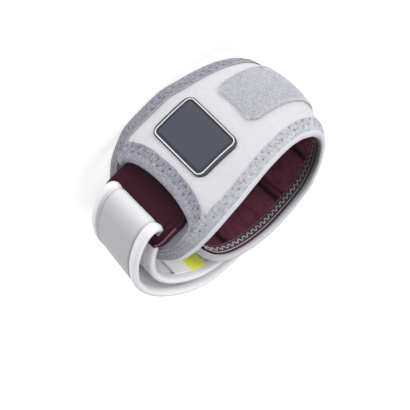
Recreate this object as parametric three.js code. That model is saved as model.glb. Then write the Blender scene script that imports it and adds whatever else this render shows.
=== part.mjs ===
// A tennis elbow strap lying on its side: a padded forearm band whose two ends meet at a pull
// strap, which runs through a padded slide ring and folds back on itself.
// Millimetres. X runs across the band, Y from its front to its back, Z from the floor upwards.
import * as THREE from 'three';

// Oval that the rims of the band follow, seen from above
const OVAL_LENGTH = 107;
const OVAL_DEPTH = 54;

// Band
const BAND_WIDTH = 81.5;
const BAND_BULGE = 6.9;
const BAND_START = 0.03;
const BAND_END = 0.868;
const LINING_THICKNESS = 2.4;
const PAD_SWELL = 1.4;
const SHELL_THICKNESS = 1.0;
const SHELL_LIFT = 4.5;

// Rims and bindings
const TOP_BEAD_HEIGHT = 3.2;
const BOTTOM_BEAD_HEIGHT = 2.6;
const BEAD_DEPTH = 4.6;
const BEAD_FLAT_DEPTH = 0.62;
const BEAD_FLAT_HEIGHT = 0.4;
const END_GAP = 0.95;
const TOP_BINDING_WIDTH = 4.4;
const BOTTOM_BINDING_WIDTH = 5.3;
const BINDING_START = 0.045;
const BINDING_END = 0.856;
const TRIM_THICKNESS = 0.8;
const TAPE_WIDTH = 6.5;
const TAPE_THICKNESS = 0.6;
const TAPE_START = 0.05;
const TAPE_END = 0.85;

// Arch that is cut out of the shell over the tongue
const ARCH_PLACE = 20.6;
const ARCH_HEIGHT = 59;
const ARCH_DEPTH = 8.2;
const ARCH_CENTRE = 2.4;
const ARCH_BINDING_WIDTH = 9.4;
const ARCH_GAP = 0.45;
const PANEL_THICKNESS = 0.6;

// Slide ring, with places along the oval as shares of a full turn
const RING_LEFT = 0.2;
const RING_RIGHT = 0.098;
const RING_SLOT = 0.1305;
const RING_THICKNESS = 3.24;
const RING_SLIM_THICKNESS = 1.8;
const RING_EDGE_THICKNESS = 1.44;
const RING_TOP_LIMB = 6;
const RING_BOTTOM_LIMB = 3.3;
const RING_HEM = 1.6;
const RING_LEFT_CORNER = 14;
const RING_RIGHT_CORNER = 8;
const RING_STANDOFF = 8;
const RING_CLEARANCE = 1;

// Pull strap, with lengths of its hook pad in rows of the strap's route
const STRAP_WIDTH = 40.8;
const STRAP_THICKNESS = 4;
const STRAP_DROP = 0.15;
const STRAP_RISE = 5;
const STRAP_LEAN = 3.8;
const STRAP_LINING_THICKNESS = 0.6;
const STRAP_CLEARANCE = 0.7;
const LOOP_GAP = 6;
const HOOK_THICKNESS = 1.6;
const HOOK_HEIGHT = 24;
const HOOK_LENGTH = 3.2;
const HOOK_TIP = 0.25;
const HOOK_GAP = 0.45;

// Tag on the inner face of the strap, with its places in rows of the strap's route
const TAG_HEIGHT = 12.5;
const TAG_THICKNESS = 0.7;
const TAG_DROP = 3.8;
const TAG_PRINTED = [3.45, 4.55];
const TAG_BARE = [4.6, 5.9];
const TAG_TOP = STRAP_WIDTH / 2 - TAG_DROP;

// Fuzzy patch round the left end
const PATCH_HEIGHT = 30.5;
const PATCH_THICKNESS = 0.8;
const PATCH_CORNER = 6;
const PATCH_DROP = 2.6;
const PATCH_START = 0.346;
const PATCH_END = 0.55;

// Badge on the front
const BADGE_PLACE = 0.2698;
const BADGE_WIDTH = 27.6;
const BADGE_HEIGHT = 42.4;
const BADGE_DROP = 3.7;
const BADGE_CORNER = 5;
const BADGE_THICKNESS = 1.0;
const BADGE_SIDE_MARGIN = 0.8;
const BADGE_END_MARGIN = 1.6;
const BADGE_LINE = 0.7;
const BADGE_LINE_HEIGHT = 0.35;
const BADGE_GROOVE = 1.5;
const BADGE_FIELD_HEIGHT = 0.45;

// Gap between stitched layers
const GAP = 0.3;
const LINING_GAP = 0.5;

// Facets of the curved surfaces
const CROWDING = 0.65;
const END_CROWDING = 1.6;
const WALL_ROWS = 8;
const PAD_COLUMNS = 4;
const END_PAD_COLUMNS = 9;
const SHELL_COLUMNS = 44;
const PANEL_COLUMNS = 12;
const BEAD_STATIONS = 54;
const BEAD_SAMPLES = 400;
const BINDING_COLUMNS = 52;
const TAPE_COLUMNS = 34;
const STRAP_COLUMNS = 52;

// Band edges as shares of half the band's width, and bulges as shares of BAND_BULGE,
// by place along the oval from its right end through the front
const BAND = [
  { turn: 0.030, top: 0.20, bottom: 0.20, bulge: 0.05 },
  { turn: 0.040, top: 0.40, bottom: 0.36, bulge: 0.05 },
  { turn: 0.068, top: 0.63, bottom: 0.52, bulge: 0.08 },
  { turn: 0.103, top: 0.83, bottom: 0.67, bulge: 0.12 },
  { turn: 0.126, top: 0.90, bottom: 0.76, bulge: 0.16 },
  { turn: 0.146, top: 0.95, bottom: 0.85, bulge: 0.18 },
  { turn: 0.182, top: 0.99, bottom: 0.95, bulge: 0.21 },
  { turn: 0.205, top: 1.00, bottom: 1.00, bulge: 0.30 },
  { turn: 0.244, top: 0.99, bottom: 1.00, bulge: 0.45 },
  { turn: 0.280, top: 0.95, bottom: 1.00, bulge: 0.50 },
  { turn: 0.306, top: 0.91, bottom: 0.96, bulge: 0.54 },
  { turn: 0.339, top: 0.86, bottom: 0.92, bulge: 0.62 },
  { turn: 0.378, top: 0.81, bottom: 0.88, bulge: 0.78 },
  { turn: 0.426, top: 0.78, bottom: 0.83, bulge: 0.94 },
  { turn: 0.500, top: 0.77, bottom: 0.79, bulge: 1.00 },
  { turn: 0.567, top: 0.80, bottom: 0.86, bulge: 0.90 },
  { turn: 0.622, top: 0.85, bottom: 0.96, bulge: 0.72 },
  { turn: 0.660, top: 0.88, bottom: 1.00, bulge: 0.62 },
  { turn: 0.741, top: 0.88, bottom: 1.00, bulge: 0.50 },
  { turn: 0.787, top: 0.85, bottom: 1.00, bulge: 0.42 },
  { turn: 0.818, top: 0.80, bottom: 0.98, bulge: 0.28 },
  { turn: 0.839, top: 0.73, bottom: 0.88, bulge: 0.20 },
  { turn: 0.850, top: 0.66, bottom: 0.77, bulge: 0.16 },
  { turn: 0.861, top: 0.50, bottom: 0.56, bulge: 0.10 },
  { turn: 0.868, top: 0.33, bottom: 0.35, bulge: 0.05 },
];

// Creases between the pads of the lining
const CREASES = [0.10, 0.185, 0.275, 0.36, 0.445, 0.53, 0.619, 0.709, 0.819];

// Lift of the shell where the slide ring passes under it, as shares of SHELL_LIFT
const LIFT = [
  { turn: 0.130, lift: 0.0 },
  { turn: 0.150, lift: 0.8 },
  { turn: 0.170, lift: 1.0 },
  { turn: 0.205, lift: 0.7 },
  { turn: 0.250, lift: 0.0 },
];

// Distance of the slide ring's middle from the oval, as shares of RING_STANDOFF
const RING_PATH = [
  { turn: 0.0980, out: 1.08 },
  { turn: 0.1060, out: 1.02 },
  { turn: 0.1155, out: 0.97 },
  { turn: 0.1245, out: 0.86 },
  { turn: 0.1335, out: 0.74 },
  { turn: 0.1450, out: 0.57 },
  { turn: 0.1600, out: 0.32 },
  { turn: 0.1750, out: 0.23 },
  { turn: 0.2000, out: 0.23 },
];

// Route of the strap from its seam on the band's back to its tip: turns run on past one,
// gap is a share of LOOP_GAP beyond the seat of that layer, rise of STRAP_RISE, lean of STRAP_LEAN
const INNER_ROUTE = [
  { turn: 0.777, gap: 0.38, rise: 1.00, lean: 0 },
  { turn: 0.797, gap: 0.38, rise: 1.00, lean: 0 },
  { turn: 0.817, gap: 0.40, rise: 1.00, lean: 0 },
  { turn: 0.846, gap: 0.50, rise: 1.00, lean: 0 },
  { turn: 0.875, gap: 0.47, rise: 0.96, lean: 0 },
  { turn: 0.905, gap: 0.25, rise: 0.86, lean: 0 },
  { turn: 0.935, gap: 0.08, rise: 0.74, lean: 0 },
  { turn: 0.968, gap: 0.00, rise: 0.58, lean: 0 },
  { turn: 1.000, gap: 0.00, rise: 0.42, lean: 0 },
  { turn: 1.033, gap: 0.00, rise: 0.28, lean: 0 },
  { turn: 1.062, gap: 0.00, rise: 0.16, lean: 0 },
  { turn: 1.090, gap: 0.00, rise: 0.07, lean: 0 },
  { turn: 1.110, gap: 0.00, rise: 0.02, lean: 0 },
];
const FOLD_ROUTE = [
  { turn: 1.1245, out: 1.08 },
  { turn: 1.1305, out: 1.58 },
  { turn: 1.1328, out: 2.24 },
  { turn: 1.1305, out: 2.88 },
];
const OUTER_ROUTE = [
  { turn: 1.1210, gap: 0.88, rise: 0.00, lean: 0.00 },
  { turn: 1.1040, gap: 1.02, rise: 0.00, lean: 0.10 },
  { turn: 1.0840, gap: 1.00, rise: 0.05, lean: 0.30 },
  { turn: 1.0620, gap: 0.92, rise: 0.12, lean: 0.55 },
  { turn: 1.0420, gap: 0.82, rise: 0.20, lean: 0.80 },
  { turn: 1.0220, gap: 0.76, rise: 0.30, lean: 1.00 },
  { turn: 1.0000, gap: 0.64, rise: 0.42, lean: 1.00 },
  { turn: 0.9780, gap: 0.56, rise: 0.54, lean: 0.90 },
  { turn: 0.9550, gap: 0.56, rise: 0.65, lean: 0.70 },
  { turn: 0.9300, gap: 0.70, rise: 0.76, lean: 0.50 },
  { turn: 0.9050, gap: 0.96, rise: 0.86, lean: 0.30 },
  { turn: 0.8800, gap: 1.18, rise: 0.94, lean: 0.10 },
  { turn: 0.8550, gap: 1.22, rise: 1.00, lean: 0.00 },
  { turn: 0.8300, gap: 1.04, rise: 1.00, lean: 0.00 },
  { turn: 0.8050, gap: 0.80, rise: 1.00, lean: 0.00 },
  { turn: 0.7850, gap: 0.62, rise: 1.00, lean: 0.00 },
  { turn: 0.7670, gap: 0.52, rise: 1.00, lean: 0.00 },
];

// Half of the strap's section: across as shares of half its width, and its two faces as
// shares of its thickness
const STRAP_SECTION = [
  { across: 0.00, lined: 0.22, smooth: 0.40 },
  { across: 0.65, lined: 0.22, smooth: 0.37 },
  { across: 0.72, lined: 0.32, smooth: 0.27 },
  { across: 0.84, lined: 0.50, smooth: 0.50 },
  { across: 0.95, lined: 0.40, smooth: 0.40 },
  { across: 1.00, lined: 0.12, smooth: 0.12 },
];

// Faces of the band's layers, measured outwards from the oval
const MIDDLE = BAND_WIDTH / 2;
const LINING_OUT = -SHELL_THICKNESS - LINING_GAP;
const LINING_IN = LINING_OUT - LINING_THICKNESS;
const TRIM_OUT = GAP + TRIM_THICKNESS;
const WALL_CENTRE = LINING_IN / 2;
const STRAP_SEAT = TRIM_OUT + STRAP_CLEARANCE + STRAP_THICKNESS / 2;
const STRAP_CENTRE = MIDDLE - STRAP_DROP;

// Colours and surfaces
const WHITE_FABRIC = { color: 0xe2e2e6, roughness: 0.75 };
const STRAP_FABRIC = { color: 0xe5e5e7, roughness: 0.6 };
const GREY_BINDING = { color: 0xafb0be, roughness: 0.9 };
const GREY_LOOP = { color: 0xb4b6c2, roughness: 0.95 };
const PALE_PATCH = { color: 0xc3c4ce, roughness: 0.95 };
const PLUM_PADDING = { color: 0x54293a, roughness: 0.9 };
const TEAL_PANEL = { color: 0x8c969e, roughness: 0.85 };
const DARK_TAPE = { color: 0x4c4750, roughness: 0.9 };
const SLATE_RUBBER = { color: 0x555766, roughness: 0.55 };
const WHITE_INK = { color: 0xf2f2f4, roughness: 0.5 };
const LIME_PRINT = { color: 0xcdd732, roughness: 0.7 };

const lerp = THREE.MathUtils.lerp;
const clamp = THREE.MathUtils.clamp;

// Smooth value of one column of a table at a turn, without overshoot
function valueAt(table, column, turn) {
  const last = table.length - 1;
  if (turn <= table[0].turn) return table[0][column];
  if (turn >= table[last].turn) return table[last][column];
  const row = table.findIndex((entry) => entry.turn > turn) - 1;
  const secant = (i) => (table[i + 1][column] - table[i][column]) / (table[i + 1].turn - table[i].turn);
  const slope = (i) => {
    if (i === 0 || i === last) return 0;
    const before = secant(i - 1);
    const after = secant(i);
    return before * after <= 0 ? 0 : (2 * before * after) / (before + after);
  };
  const span = table[row + 1].turn - table[row].turn;
  const t = (turn - table[row].turn) / span;
  const rest = 1 - t;
  return table[row][column] * rest * rest * (1 + 2 * t) + table[row + 1][column] * t * t * (3 - 2 * t)
    + span * t * rest * (slope(row) * rest - slope(row + 1) * t);
}

// Point of the oval at a turn, moved outwards and raised
function ovalPoint(turn, height, out) {
  const angle = turn * 2 * Math.PI;
  const normal = new THREE.Vector2(OVAL_DEPTH * Math.cos(angle), -OVAL_LENGTH * Math.sin(angle));
  normal.normalize();
  const x = (OVAL_LENGTH / 2) * Math.cos(angle) + normal.x * out;
  const y = (OVAL_DEPTH / 2) * (1 - Math.sin(angle)) + normal.y * out;
  return new THREE.Vector3(x, y, height);
}

// Length along the oval for each whole turn, at a turn
function speedAt(turn) {
  const angle = turn * 2 * Math.PI;
  return Math.PI * Math.hypot(OVAL_LENGTH * Math.sin(angle), OVAL_DEPTH * Math.cos(angle));
}

// Turn at which the front of the oval has a given X
function turnAtX(x) {
  return Math.acos((2 * x) / OVAL_LENGTH) / (2 * Math.PI);
}

// Height of an edge of the band, set in from its outline by a distance in every direction
function edgeHeight(turn, side, inset) {
  const steps = 8;
  const reach = inset / speedAt(turn);
  let half = Infinity;
  for (let i = -steps; i <= steps; i += 1) {
    const away = i / steps;
    const outline = valueAt(BAND, side, turn + away * reach) * MIDDLE;
    half = Math.min(half, outline - inset * Math.sqrt(1 - away * away));
  }
  return side === 'top' ? MIDDLE + half : MIDDLE - half;
}

// Outward bulge of the band at a turn and height, with the lift of the shell added to it
function bulgeAt(turn, height, lifted) {
  const side = height > MIDDLE ? 'top' : 'bottom';
  const share = clamp(Math.abs(height - MIDDLE) / (valueAt(BAND, side, turn) * MIDDLE), 0, 1);
  const bulge = BAND_BULGE * valueAt(BAND, 'bulge', turn) * (1 - share ** 2);
  const lift = lifted ? SHELL_LIFT * valueAt(LIFT, 'lift', turn) * (1 - share ** 4) : 0;
  return bulge + lift;
}

// Point of the band's wall, and of the shell where it lifts off the layers under it
function wallPoint(turn, height, out) {
  return ovalPoint(turn, height, out + bulgeAt(turn, height, false));
}

function shellPoint(turn, height, out) {
  return ovalPoint(turn, height, out + bulgeAt(turn, height, true));
}

// Turn of the arch's edge at a height
function archTurn(height) {
  const share = clamp(Math.abs(height - MIDDLE - ARCH_CENTRE) / (ARCH_HEIGHT / 2), 0, 1);
  return turnAtX(ARCH_PLACE + ARCH_DEPTH * (1 - Math.sqrt(1 - share * share)));
}

// Even steps that crowd towards both ends
function crowd(share) {
  return share - (CROWDING * Math.sin(2 * Math.PI * share)) / (2 * Math.PI);
}

// Closed body from points and triangles, turned so that its faces point out
function closedBody(points, triangles) {
  let volume = 0;
  for (const [a, b, c] of triangles) {
    volume += points[a].dot(new THREE.Vector3().crossVectors(points[b], points[c]));
  }
  const turned = volume < 0 ? triangles.map(([a, b, c]) => [a, c, b]) : triangles;
  const geometry = new THREE.BufferGeometry().setFromPoints(points);
  geometry.setIndex(turned.flat());
  geometry.computeVertexNormals();
  return geometry;
}

// Sheet with a front and a back, on a grid of columns and rows. Cells may be left open.
function slab(columns, rows, place, filled = () => true) {
  const points = [];
  const index = (i, j, side) => (i * (rows + 1) + j) * 2 + side;
  for (let i = 0; i <= columns; i += 1) {
    for (let j = 0; j <= rows; j += 1) {
      points.push(place(i, j, 0), place(i, j, 1));
    }
  }
  const triangles = [];
  const quad = (a, b, c, d) => triangles.push([a, b, c], [a, c, d]);
  const isFilled = (i, j) => i >= 0 && j >= 0 && i < columns && j < rows && filled(i, j);
  for (let i = 0; i < columns; i += 1) {
    for (let j = 0; j < rows; j += 1) {
      if (!isFilled(i, j)) continue;
      quad(index(i, j, 1), index(i + 1, j, 1), index(i + 1, j + 1, 1), index(i, j + 1, 1));
      quad(index(i, j, 0), index(i, j + 1, 0), index(i + 1, j + 1, 0), index(i + 1, j, 0));
      const wall = (p, q) => quad(index(...p, 0), index(...q, 0), index(...q, 1), index(...p, 1));
      if (!isFilled(i, j - 1)) wall([i, j], [i + 1, j]);
      if (!isFilled(i + 1, j)) wall([i + 1, j], [i + 1, j + 1]);
      if (!isFilled(i, j + 1)) wall([i + 1, j + 1], [i, j + 1]);
      if (!isFilled(i - 1, j)) wall([i, j + 1], [i, j]);
    }
  }
  return closedBody(points, triangles);
}

// Bar of one section swept along points, with flat ends
function bar(centres, section) {
  const last = centres.length - 1;
  const sides = section.length;
  const points = [];
  centres.forEach(({ point, out }, i) => {
    const before = centres[Math.max(i - 1, 0)].point;
    const after = centres[Math.min(i + 1, last)].point;
    const along = new THREE.Vector3().subVectors(after, before).normalize();
    const across = new THREE.Vector3().crossVectors(along, out).normalize();
    for (const [depth, height] of section) {
      points.push(point.clone().addScaledVector(out, depth).addScaledVector(across, height));
    }
  });
  const triangles = [];
  for (let i = 0; i < last; i += 1) {
    for (let k = 0; k < sides; k += 1) {
      const a = i * sides + k;
      const b = i * sides + ((k + 1) % sides);
      triangles.push([a, b, b + sides], [a, b + sides, a + sides]);
    }
  }
  for (let k = 1; k < sides - 1; k += 1) {
    triangles.push([0, k + 1, k], [last * sides, last * sides + k, last * sides + k + 1]);
  }
  return closedBody(points, triangles);
}

function named(name, geometry, finish) {
  const material = new THREE.MeshStandardMaterial({ ...finish, metalness: 0 });
  const mesh = new THREE.Mesh(geometry, material);
  mesh.name = name;
  return mesh;
}

// Height of one of the wall's rows: the first and last strips lie behind the tapes
function wallLevel(turn, row) {
  const low = edgeHeight(turn, 'bottom', BOTTOM_BEAD_HEIGHT + LINING_GAP);
  const high = edgeHeight(turn, 'top', TOP_BEAD_HEIGHT + LINING_GAP);
  const strip = Math.min(TAPE_WIDTH + GAP, (high - low) / 3);
  if (row === 0) return low;
  if (row === WALL_ROWS) return high;
  return lerp(low + strip, high - strip, (row - 1) / (WALL_ROWS - 2));
}

// Padded lining, with pads that swell inwards between its creases
function lining() {
  const inset = TOP_BEAD_HEIGHT + END_GAP;
  const first = BAND_START + inset / speedAt(BAND_START);
  const last = BAND_END - inset / speedAt(BAND_END);
  const bounds = [first, ...CREASES, last];
  const columns = [];
  for (let pad = 1; pad < bounds.length; pad += 1) {
    const atStart = pad === 1;
    const atEnd = pad === bounds.length - 1;
    const steps = atStart || atEnd ? END_PAD_COLUMNS : PAD_COLUMNS;
    for (let i = atStart ? 0 : 1; i <= steps; i += 1) {
      const share = i / steps;
      const fromEnd = atEnd ? 1 - (1 - share) ** END_CROWDING : share;
      const eased = atStart ? share ** END_CROWDING : fromEnd;
      const swell = Math.sqrt(Math.max(0, 1 - (2 * eased - 1) ** 4));
      columns.push({ turn: lerp(bounds[pad - 1], bounds[pad], eased), swell });
    }
  }
  const place = (i, j, side) => {
    const { turn, swell } = columns[i];
    const behindTape = j < 2 || j > WALL_ROWS - 2;
    const depth = behindTape ? 0 : PAD_SWELL * swell;
    return wallPoint(turn, wallLevel(turn, j), side ? LINING_OUT : LINING_IN - depth);
  };
  return slab(columns.length - 1, WALL_ROWS, place);
}

// Smooth outer shell, which ends at the arch
function shell() {
  const last = BAND_END - (TOP_BEAD_HEIGHT + END_GAP) / speedAt(BAND_END);
  const place = (i, j, side) => {
    const first = archTurn(wallLevel(turnAtX(ARCH_PLACE), j));
    const turn = lerp(first, last, crowd(i / SHELL_COLUMNS));
    return shellPoint(turn, wallLevel(turn, j), side ? 0 : -SHELL_THICKNESS);
  };
  return slab(SHELL_COLUMNS, WALL_ROWS, place);
}

// Panel on the outer face of the tongue, beyond the arch
function tonguePanel() {
  const last = BAND_START + (TOP_BEAD_HEIGHT + END_GAP) / speedAt(BAND_START);
  const place = (i, j, side) => {
    const arch = archTurn(wallLevel(turnAtX(ARCH_PLACE), j));
    const first = arch - (SHELL_THICKNESS + GAP) / speedAt(arch);
    const turn = lerp(first, last, crowd(i / PANEL_COLUMNS));
    return wallPoint(turn, wallLevel(turn, j), LINING_OUT + GAP + (side ? PANEL_THICKNESS : 0));
  };
  return slab(PANEL_COLUMNS, WALL_ROWS, place);
}

// Bead along one rim of the band, round both of its ends
function rimBead(side, beadHeight) {
  const inset = beadHeight / 2;
  const first = BAND_START + inset / speedAt(BAND_START);
  const last = BAND_END - inset / speedAt(BAND_END);
  const away = side === 'top' ? GAP : -GAP;
  const line = [[first, MIDDLE + away]];
  for (let i = 0; i <= BEAD_SAMPLES; i += 1) {
    const turn = lerp(first, last, crowd(i / BEAD_SAMPLES));
    line.push([turn, edgeHeight(turn, side, inset)]);
  }
  line.push([last, MIDDLE + away]);
  const path = new THREE.CurvePath();
  for (let i = 1; i < line.length; i += 1) {
    const start = wallPoint(...line[i - 1], WALL_CENTRE);
    path.add(new THREE.LineCurve3(start, wallPoint(...line[i], WALL_CENTRE)));
  }
  const shares = Array.from({ length: BEAD_STATIONS + 1 }, (_, i) => crowd(i / BEAD_STATIONS));
  const centres = shares.map((share) => {
    const point = path.getPointAt(share);
    const x = (point.x * 2) / OVAL_LENGTH;
    const y = ((point.y - OVAL_DEPTH / 2) * 2) / OVAL_DEPTH;
    const out = new THREE.Vector3(x / OVAL_LENGTH, y / OVAL_DEPTH, 0).normalize();
    return { point, out };
  });
  const depth = BEAD_DEPTH / 2;
  const flat = depth * BEAD_FLAT_DEPTH;
  const low = inset * BEAD_FLAT_HEIGHT;
  const section = [
    [depth, low], [flat, inset], [-flat, inset], [-depth, low],
    [-depth, -low], [-flat, -inset], [flat, -inset], [depth, -low],
  ];
  return bar(centres, section);
}

// Strip that follows one rim at a distance from it, on a face of the band
function rimStrip(side, options) {
  const columns = options.columns;
  const away = side === 'top' ? -1 : 1;
  const place = (i, j, face) => {
    const turn = lerp(options.start, options.end, crowd(i / columns));
    const height = edgeHeight(turn, side, options.inset) + away * options.width * j;
    const point = options.inside ? wallPoint : shellPoint;
    return point(turn, height, options.face + (face ? options.thickness : 0));
  };
  return slab(columns, 1, place);
}

function outerBinding(side, beadHeight, width) {
  return rimStrip(side, {
    columns: BINDING_COLUMNS,
    start: BINDING_START,
    end: BINDING_END,
    inset: beadHeight + GAP,
    width,
    face: GAP,
    thickness: TRIM_THICKNESS,
  });
}

function innerTape(side, beadHeight) {
  return rimStrip(side, {
    columns: TAPE_COLUMNS,
    start: TAPE_START,
    end: TAPE_END,
    inset: beadHeight + GAP,
    width: TAPE_WIDTH,
    face: LINING_IN - GAP - TAPE_THICKNESS,
    thickness: TAPE_THICKNESS,
    inside: true,
  });
}

// Binding round the arch, between the two rim bindings
function archBinding() {
  const columns = 22;
  const rows = 2;
  const low = (turn) => edgeHeight(turn, 'bottom', BOTTOM_BEAD_HEIGHT + GAP) + BOTTOM_BINDING_WIDTH + GAP;
  const high = (turn) => edgeHeight(turn, 'top', TOP_BEAD_HEIGHT + GAP) - TOP_BINDING_WIDTH - GAP;
  const arch = turnAtX(ARCH_PLACE);
  const place = (i, j, side) => {
    const share = crowd(i / columns);
    const edge = archTurn(lerp(low(arch), high(arch), share));
    const turn = edge + (ARCH_BINDING_WIDTH * j) / rows / speedAt(edge);
    const height = lerp(low(turn), high(turn), share);
    return shellPoint(turn, height, ARCH_GAP + (side ? TRIM_THICKNESS : 0));
  };
  return slab(columns, rows, place);
}

// Padded ring with the slot that the strap runs through
function slideRing() {
  const slotHalf = (STRAP_THICKNESS / 2 + RING_CLEARANCE) / speedAt(RING_SLOT);
  const webColumns = 6;
  const barColumns = 3;
  const turns = [];
  for (let i = 0; i <= webColumns; i += 1) {
    turns.push(lerp(RING_LEFT, RING_SLOT + slotHalf, i / webColumns));
  }
  for (let i = 0; i <= barColumns; i += 1) {
    turns.push(lerp(RING_SLOT - slotHalf, RING_RIGHT, i / barColumns));
  }
  const slot = STRAP_WIDTH / 2 + GAP;
  const cut = (distance, radius) => {
    const into = clamp(radius - distance, 0, radius);
    return radius - Math.sqrt(radius ** 2 - into ** 2);
  };
  const limb = (turn, height) => {
    const left = cut((RING_LEFT - turn) * speedAt(turn), RING_LEFT_CORNER);
    const right = cut((turn - RING_RIGHT) * speedAt(turn), RING_RIGHT_CORNER);
    return Math.max(height - Math.max(left, right), RING_HEM);
  };
  const heights = (turn) => {
    const top = limb(turn, RING_TOP_LIMB);
    const bottom = limb(turn, RING_BOTTOM_LIMB);
    return [
      -slot - bottom, -slot - bottom + RING_HEM / 2, -slot, -slot / 3, slot / 3, slot,
      slot + top - RING_HEM / 2, slot + top,
    ];
  };
  const columns = turns.length - 1;
  const rows = 7;
  const thicknessAt = (i, j) => {
    const atEdge = i === 0 || i === columns || j === 0 || j === rows;
    if (atEdge) return RING_EDGE_THICKNESS;
    const underShell = turns[i] > RING_SLOT + 3 * slotHalf;
    const atSlot = i === webColumns || i === webColumns + 1;
    return underShell || atSlot ? RING_SLIM_THICKNESS : RING_THICKNESS;
  };
  const place = (i, j, side) => {
    const turn = turns[i];
    const height = STRAP_CENTRE + heights(turn)[j];
    const thickness = thicknessAt(i, j);
    const middle = RING_STANDOFF * valueAt(RING_PATH, 'out', turn);
    return ovalPoint(turn, height, middle + (side ? 0.5 : -0.5) * thickness);
  };
  const filled = (i, j) => !(i === webColumns && j >= 2 && j <= 4);
  return slab(columns, rows, place, filled);
}

// Points of the strap's route, with its height and lean
function strapRoute() {
  const layer = (rows, seat) => rows.map(({ turn, gap, rise, lean }) => ({
    point: ovalPoint(turn, STRAP_CENTRE + STRAP_RISE * rise, seat + LOOP_GAP * gap),
    lean: STRAP_LEAN * lean,
  }));
  const fold = FOLD_ROUTE.map(({ turn, out }) => ({
    point: ovalPoint(turn, STRAP_CENTRE, STRAP_SEAT * out),
    lean: 0,
  }));
  return [...layer(INNER_ROUTE, STRAP_SEAT), ...fold, ...layer(OUTER_ROUTE, STRAP_SEAT + STRAP_THICKNESS)];
}

const ROUTE = strapRoute();
const ROUTE_CURVE = new THREE.CatmullRomCurve3(ROUTE.map(({ point }) => point), false, 'centripetal');

// Point of the strap at a share of its route, across its width and off its centre
function strapPoint(share, across, off) {
  const point = ROUTE_CURVE.getPoint(share);
  const along = ROUTE_CURVE.getTangent(share);
  const left = new THREE.Vector3(-along.y, along.x, 0).normalize();
  const place = share * (ROUTE.length - 1);
  const row = Math.min(Math.floor(place), ROUTE.length - 2);
  const lean = lerp(ROUTE[row].lean, ROUTE[row + 1].lean, place - row);
  const tilt = -(lean * across) / STRAP_WIDTH;
  return point.addScaledVector(left, off + tilt).add(new THREE.Vector3(0, 0, across));
}

// Share of the route at one of its listed points
function routeShare(place) {
  return place / (ROUTE.length - 1);
}

function strap() {
  const half = STRAP_SECTION.map((row) => ({ ...row, across: row.across * STRAP_WIDTH / 2 }));
  const mirrored = half.slice(1).reverse().map((row) => ({ ...row, across: -row.across }));
  const section = [...mirrored, ...half];
  const place = (i, j, side) => {
    const { across, lined, smooth } = section[j];
    return strapPoint(i / STRAP_COLUMNS, across, STRAP_THICKNESS * (side ? lined : -smooth));
  };
  return slab(STRAP_COLUMNS, section.length - 1, place);
}

// Layer on the lined face of the strap, between its beads
function strapLayer(start, end, columns, height, from, thickness) {
  const place = (i, j, side) => {
    const across = lerp(-height / 2, height / 2, j);
    return strapPoint(lerp(start, end, i / columns), across, from + (side ? thickness : 0));
  };
  return slab(columns, 1, place);
}

const LINED_FACE = STRAP_THICKNESS * STRAP_SECTION[0].lined + GAP;
const HOOK_START = routeShare(ROUTE.length - HOOK_LENGTH);

function strapLining() {
  const height = STRAP_WIDTH * STRAP_SECTION[1].across;
  const end = HOOK_START - routeShare(HOOK_GAP);
  const columns = Math.round(STRAP_COLUMNS * end);
  return strapLayer(0, end, columns, height, LINED_FACE, STRAP_LINING_THICKNESS);
}

function hookPad() {
  const columns = 5;
  const end = 1 - routeShare(HOOK_TIP);
  return strapLayer(HOOK_START, end, columns, HOOK_HEIGHT, LINED_FACE, HOOK_THICKNESS);
}

// One part of the tag on the smooth face of the strap's inner layer
function tag([start, end]) {
  const columns = 4;
  const place = (i, j, side) => {
    const across = TAG_TOP - TAG_HEIGHT * j;
    const off = -STRAP_THICKNESS / 2 - GAP - (side ? TAG_THICKNESS : 0);
    return strapPoint(lerp(routeShare(start), routeShare(end), i / columns), across, off);
  };
  return slab(columns, 1, place);
}

// Half the height of a rounded rectangle at a share of its length
function roundedHalf(share, length, height, corner) {
  const into = clamp(corner - Math.min(share, 1 - share) * length, 0, corner);
  return height / 2 - corner + Math.sqrt(corner ** 2 - into ** 2);
}

// Fuzzy patch on the shell, round the left end of the band
function loopPatch() {
  const columns = 20;
  const rows = 4;
  const length = (PATCH_END - PATCH_START) * speedAt(PATCH_START);
  const place = (i, j, side) => {
    const share = crowd(i / columns);
    const turn = lerp(PATCH_START, PATCH_END, share);
    const half = roundedHalf(share, length, PATCH_HEIGHT, PATCH_CORNER);
    const height = MIDDLE - PATCH_DROP + half * (2 * j / rows - 1);
    return shellPoint(turn, height, GAP + (side ? PATCH_THICKNESS : 0));
  };
  return slab(columns, rows, place);
}

// Rounded plate on the badge's place, set in from its edge
function badgePlate(sideInset, endInset, from, thickness) {
  const columns = 12;
  const rows = 4;
  const width = BADGE_WIDTH - 2 * sideInset;
  const height = BADGE_HEIGHT - 2 * endInset;
  const corner = Math.max(BADGE_CORNER - endInset, 1);
  const place = (i, j, side) => {
    const share = crowd(i / columns);
    const turn = BADGE_PLACE + ((0.5 - share) * width) / speedAt(BADGE_PLACE);
    const level = roundedHalf(share, width, height, corner) * (2 * j / rows - 1);
    return shellPoint(turn, MIDDLE - BADGE_DROP + level, from + (side ? thickness : 0));
  };
  return slab(columns, rows, place);
}

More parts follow.
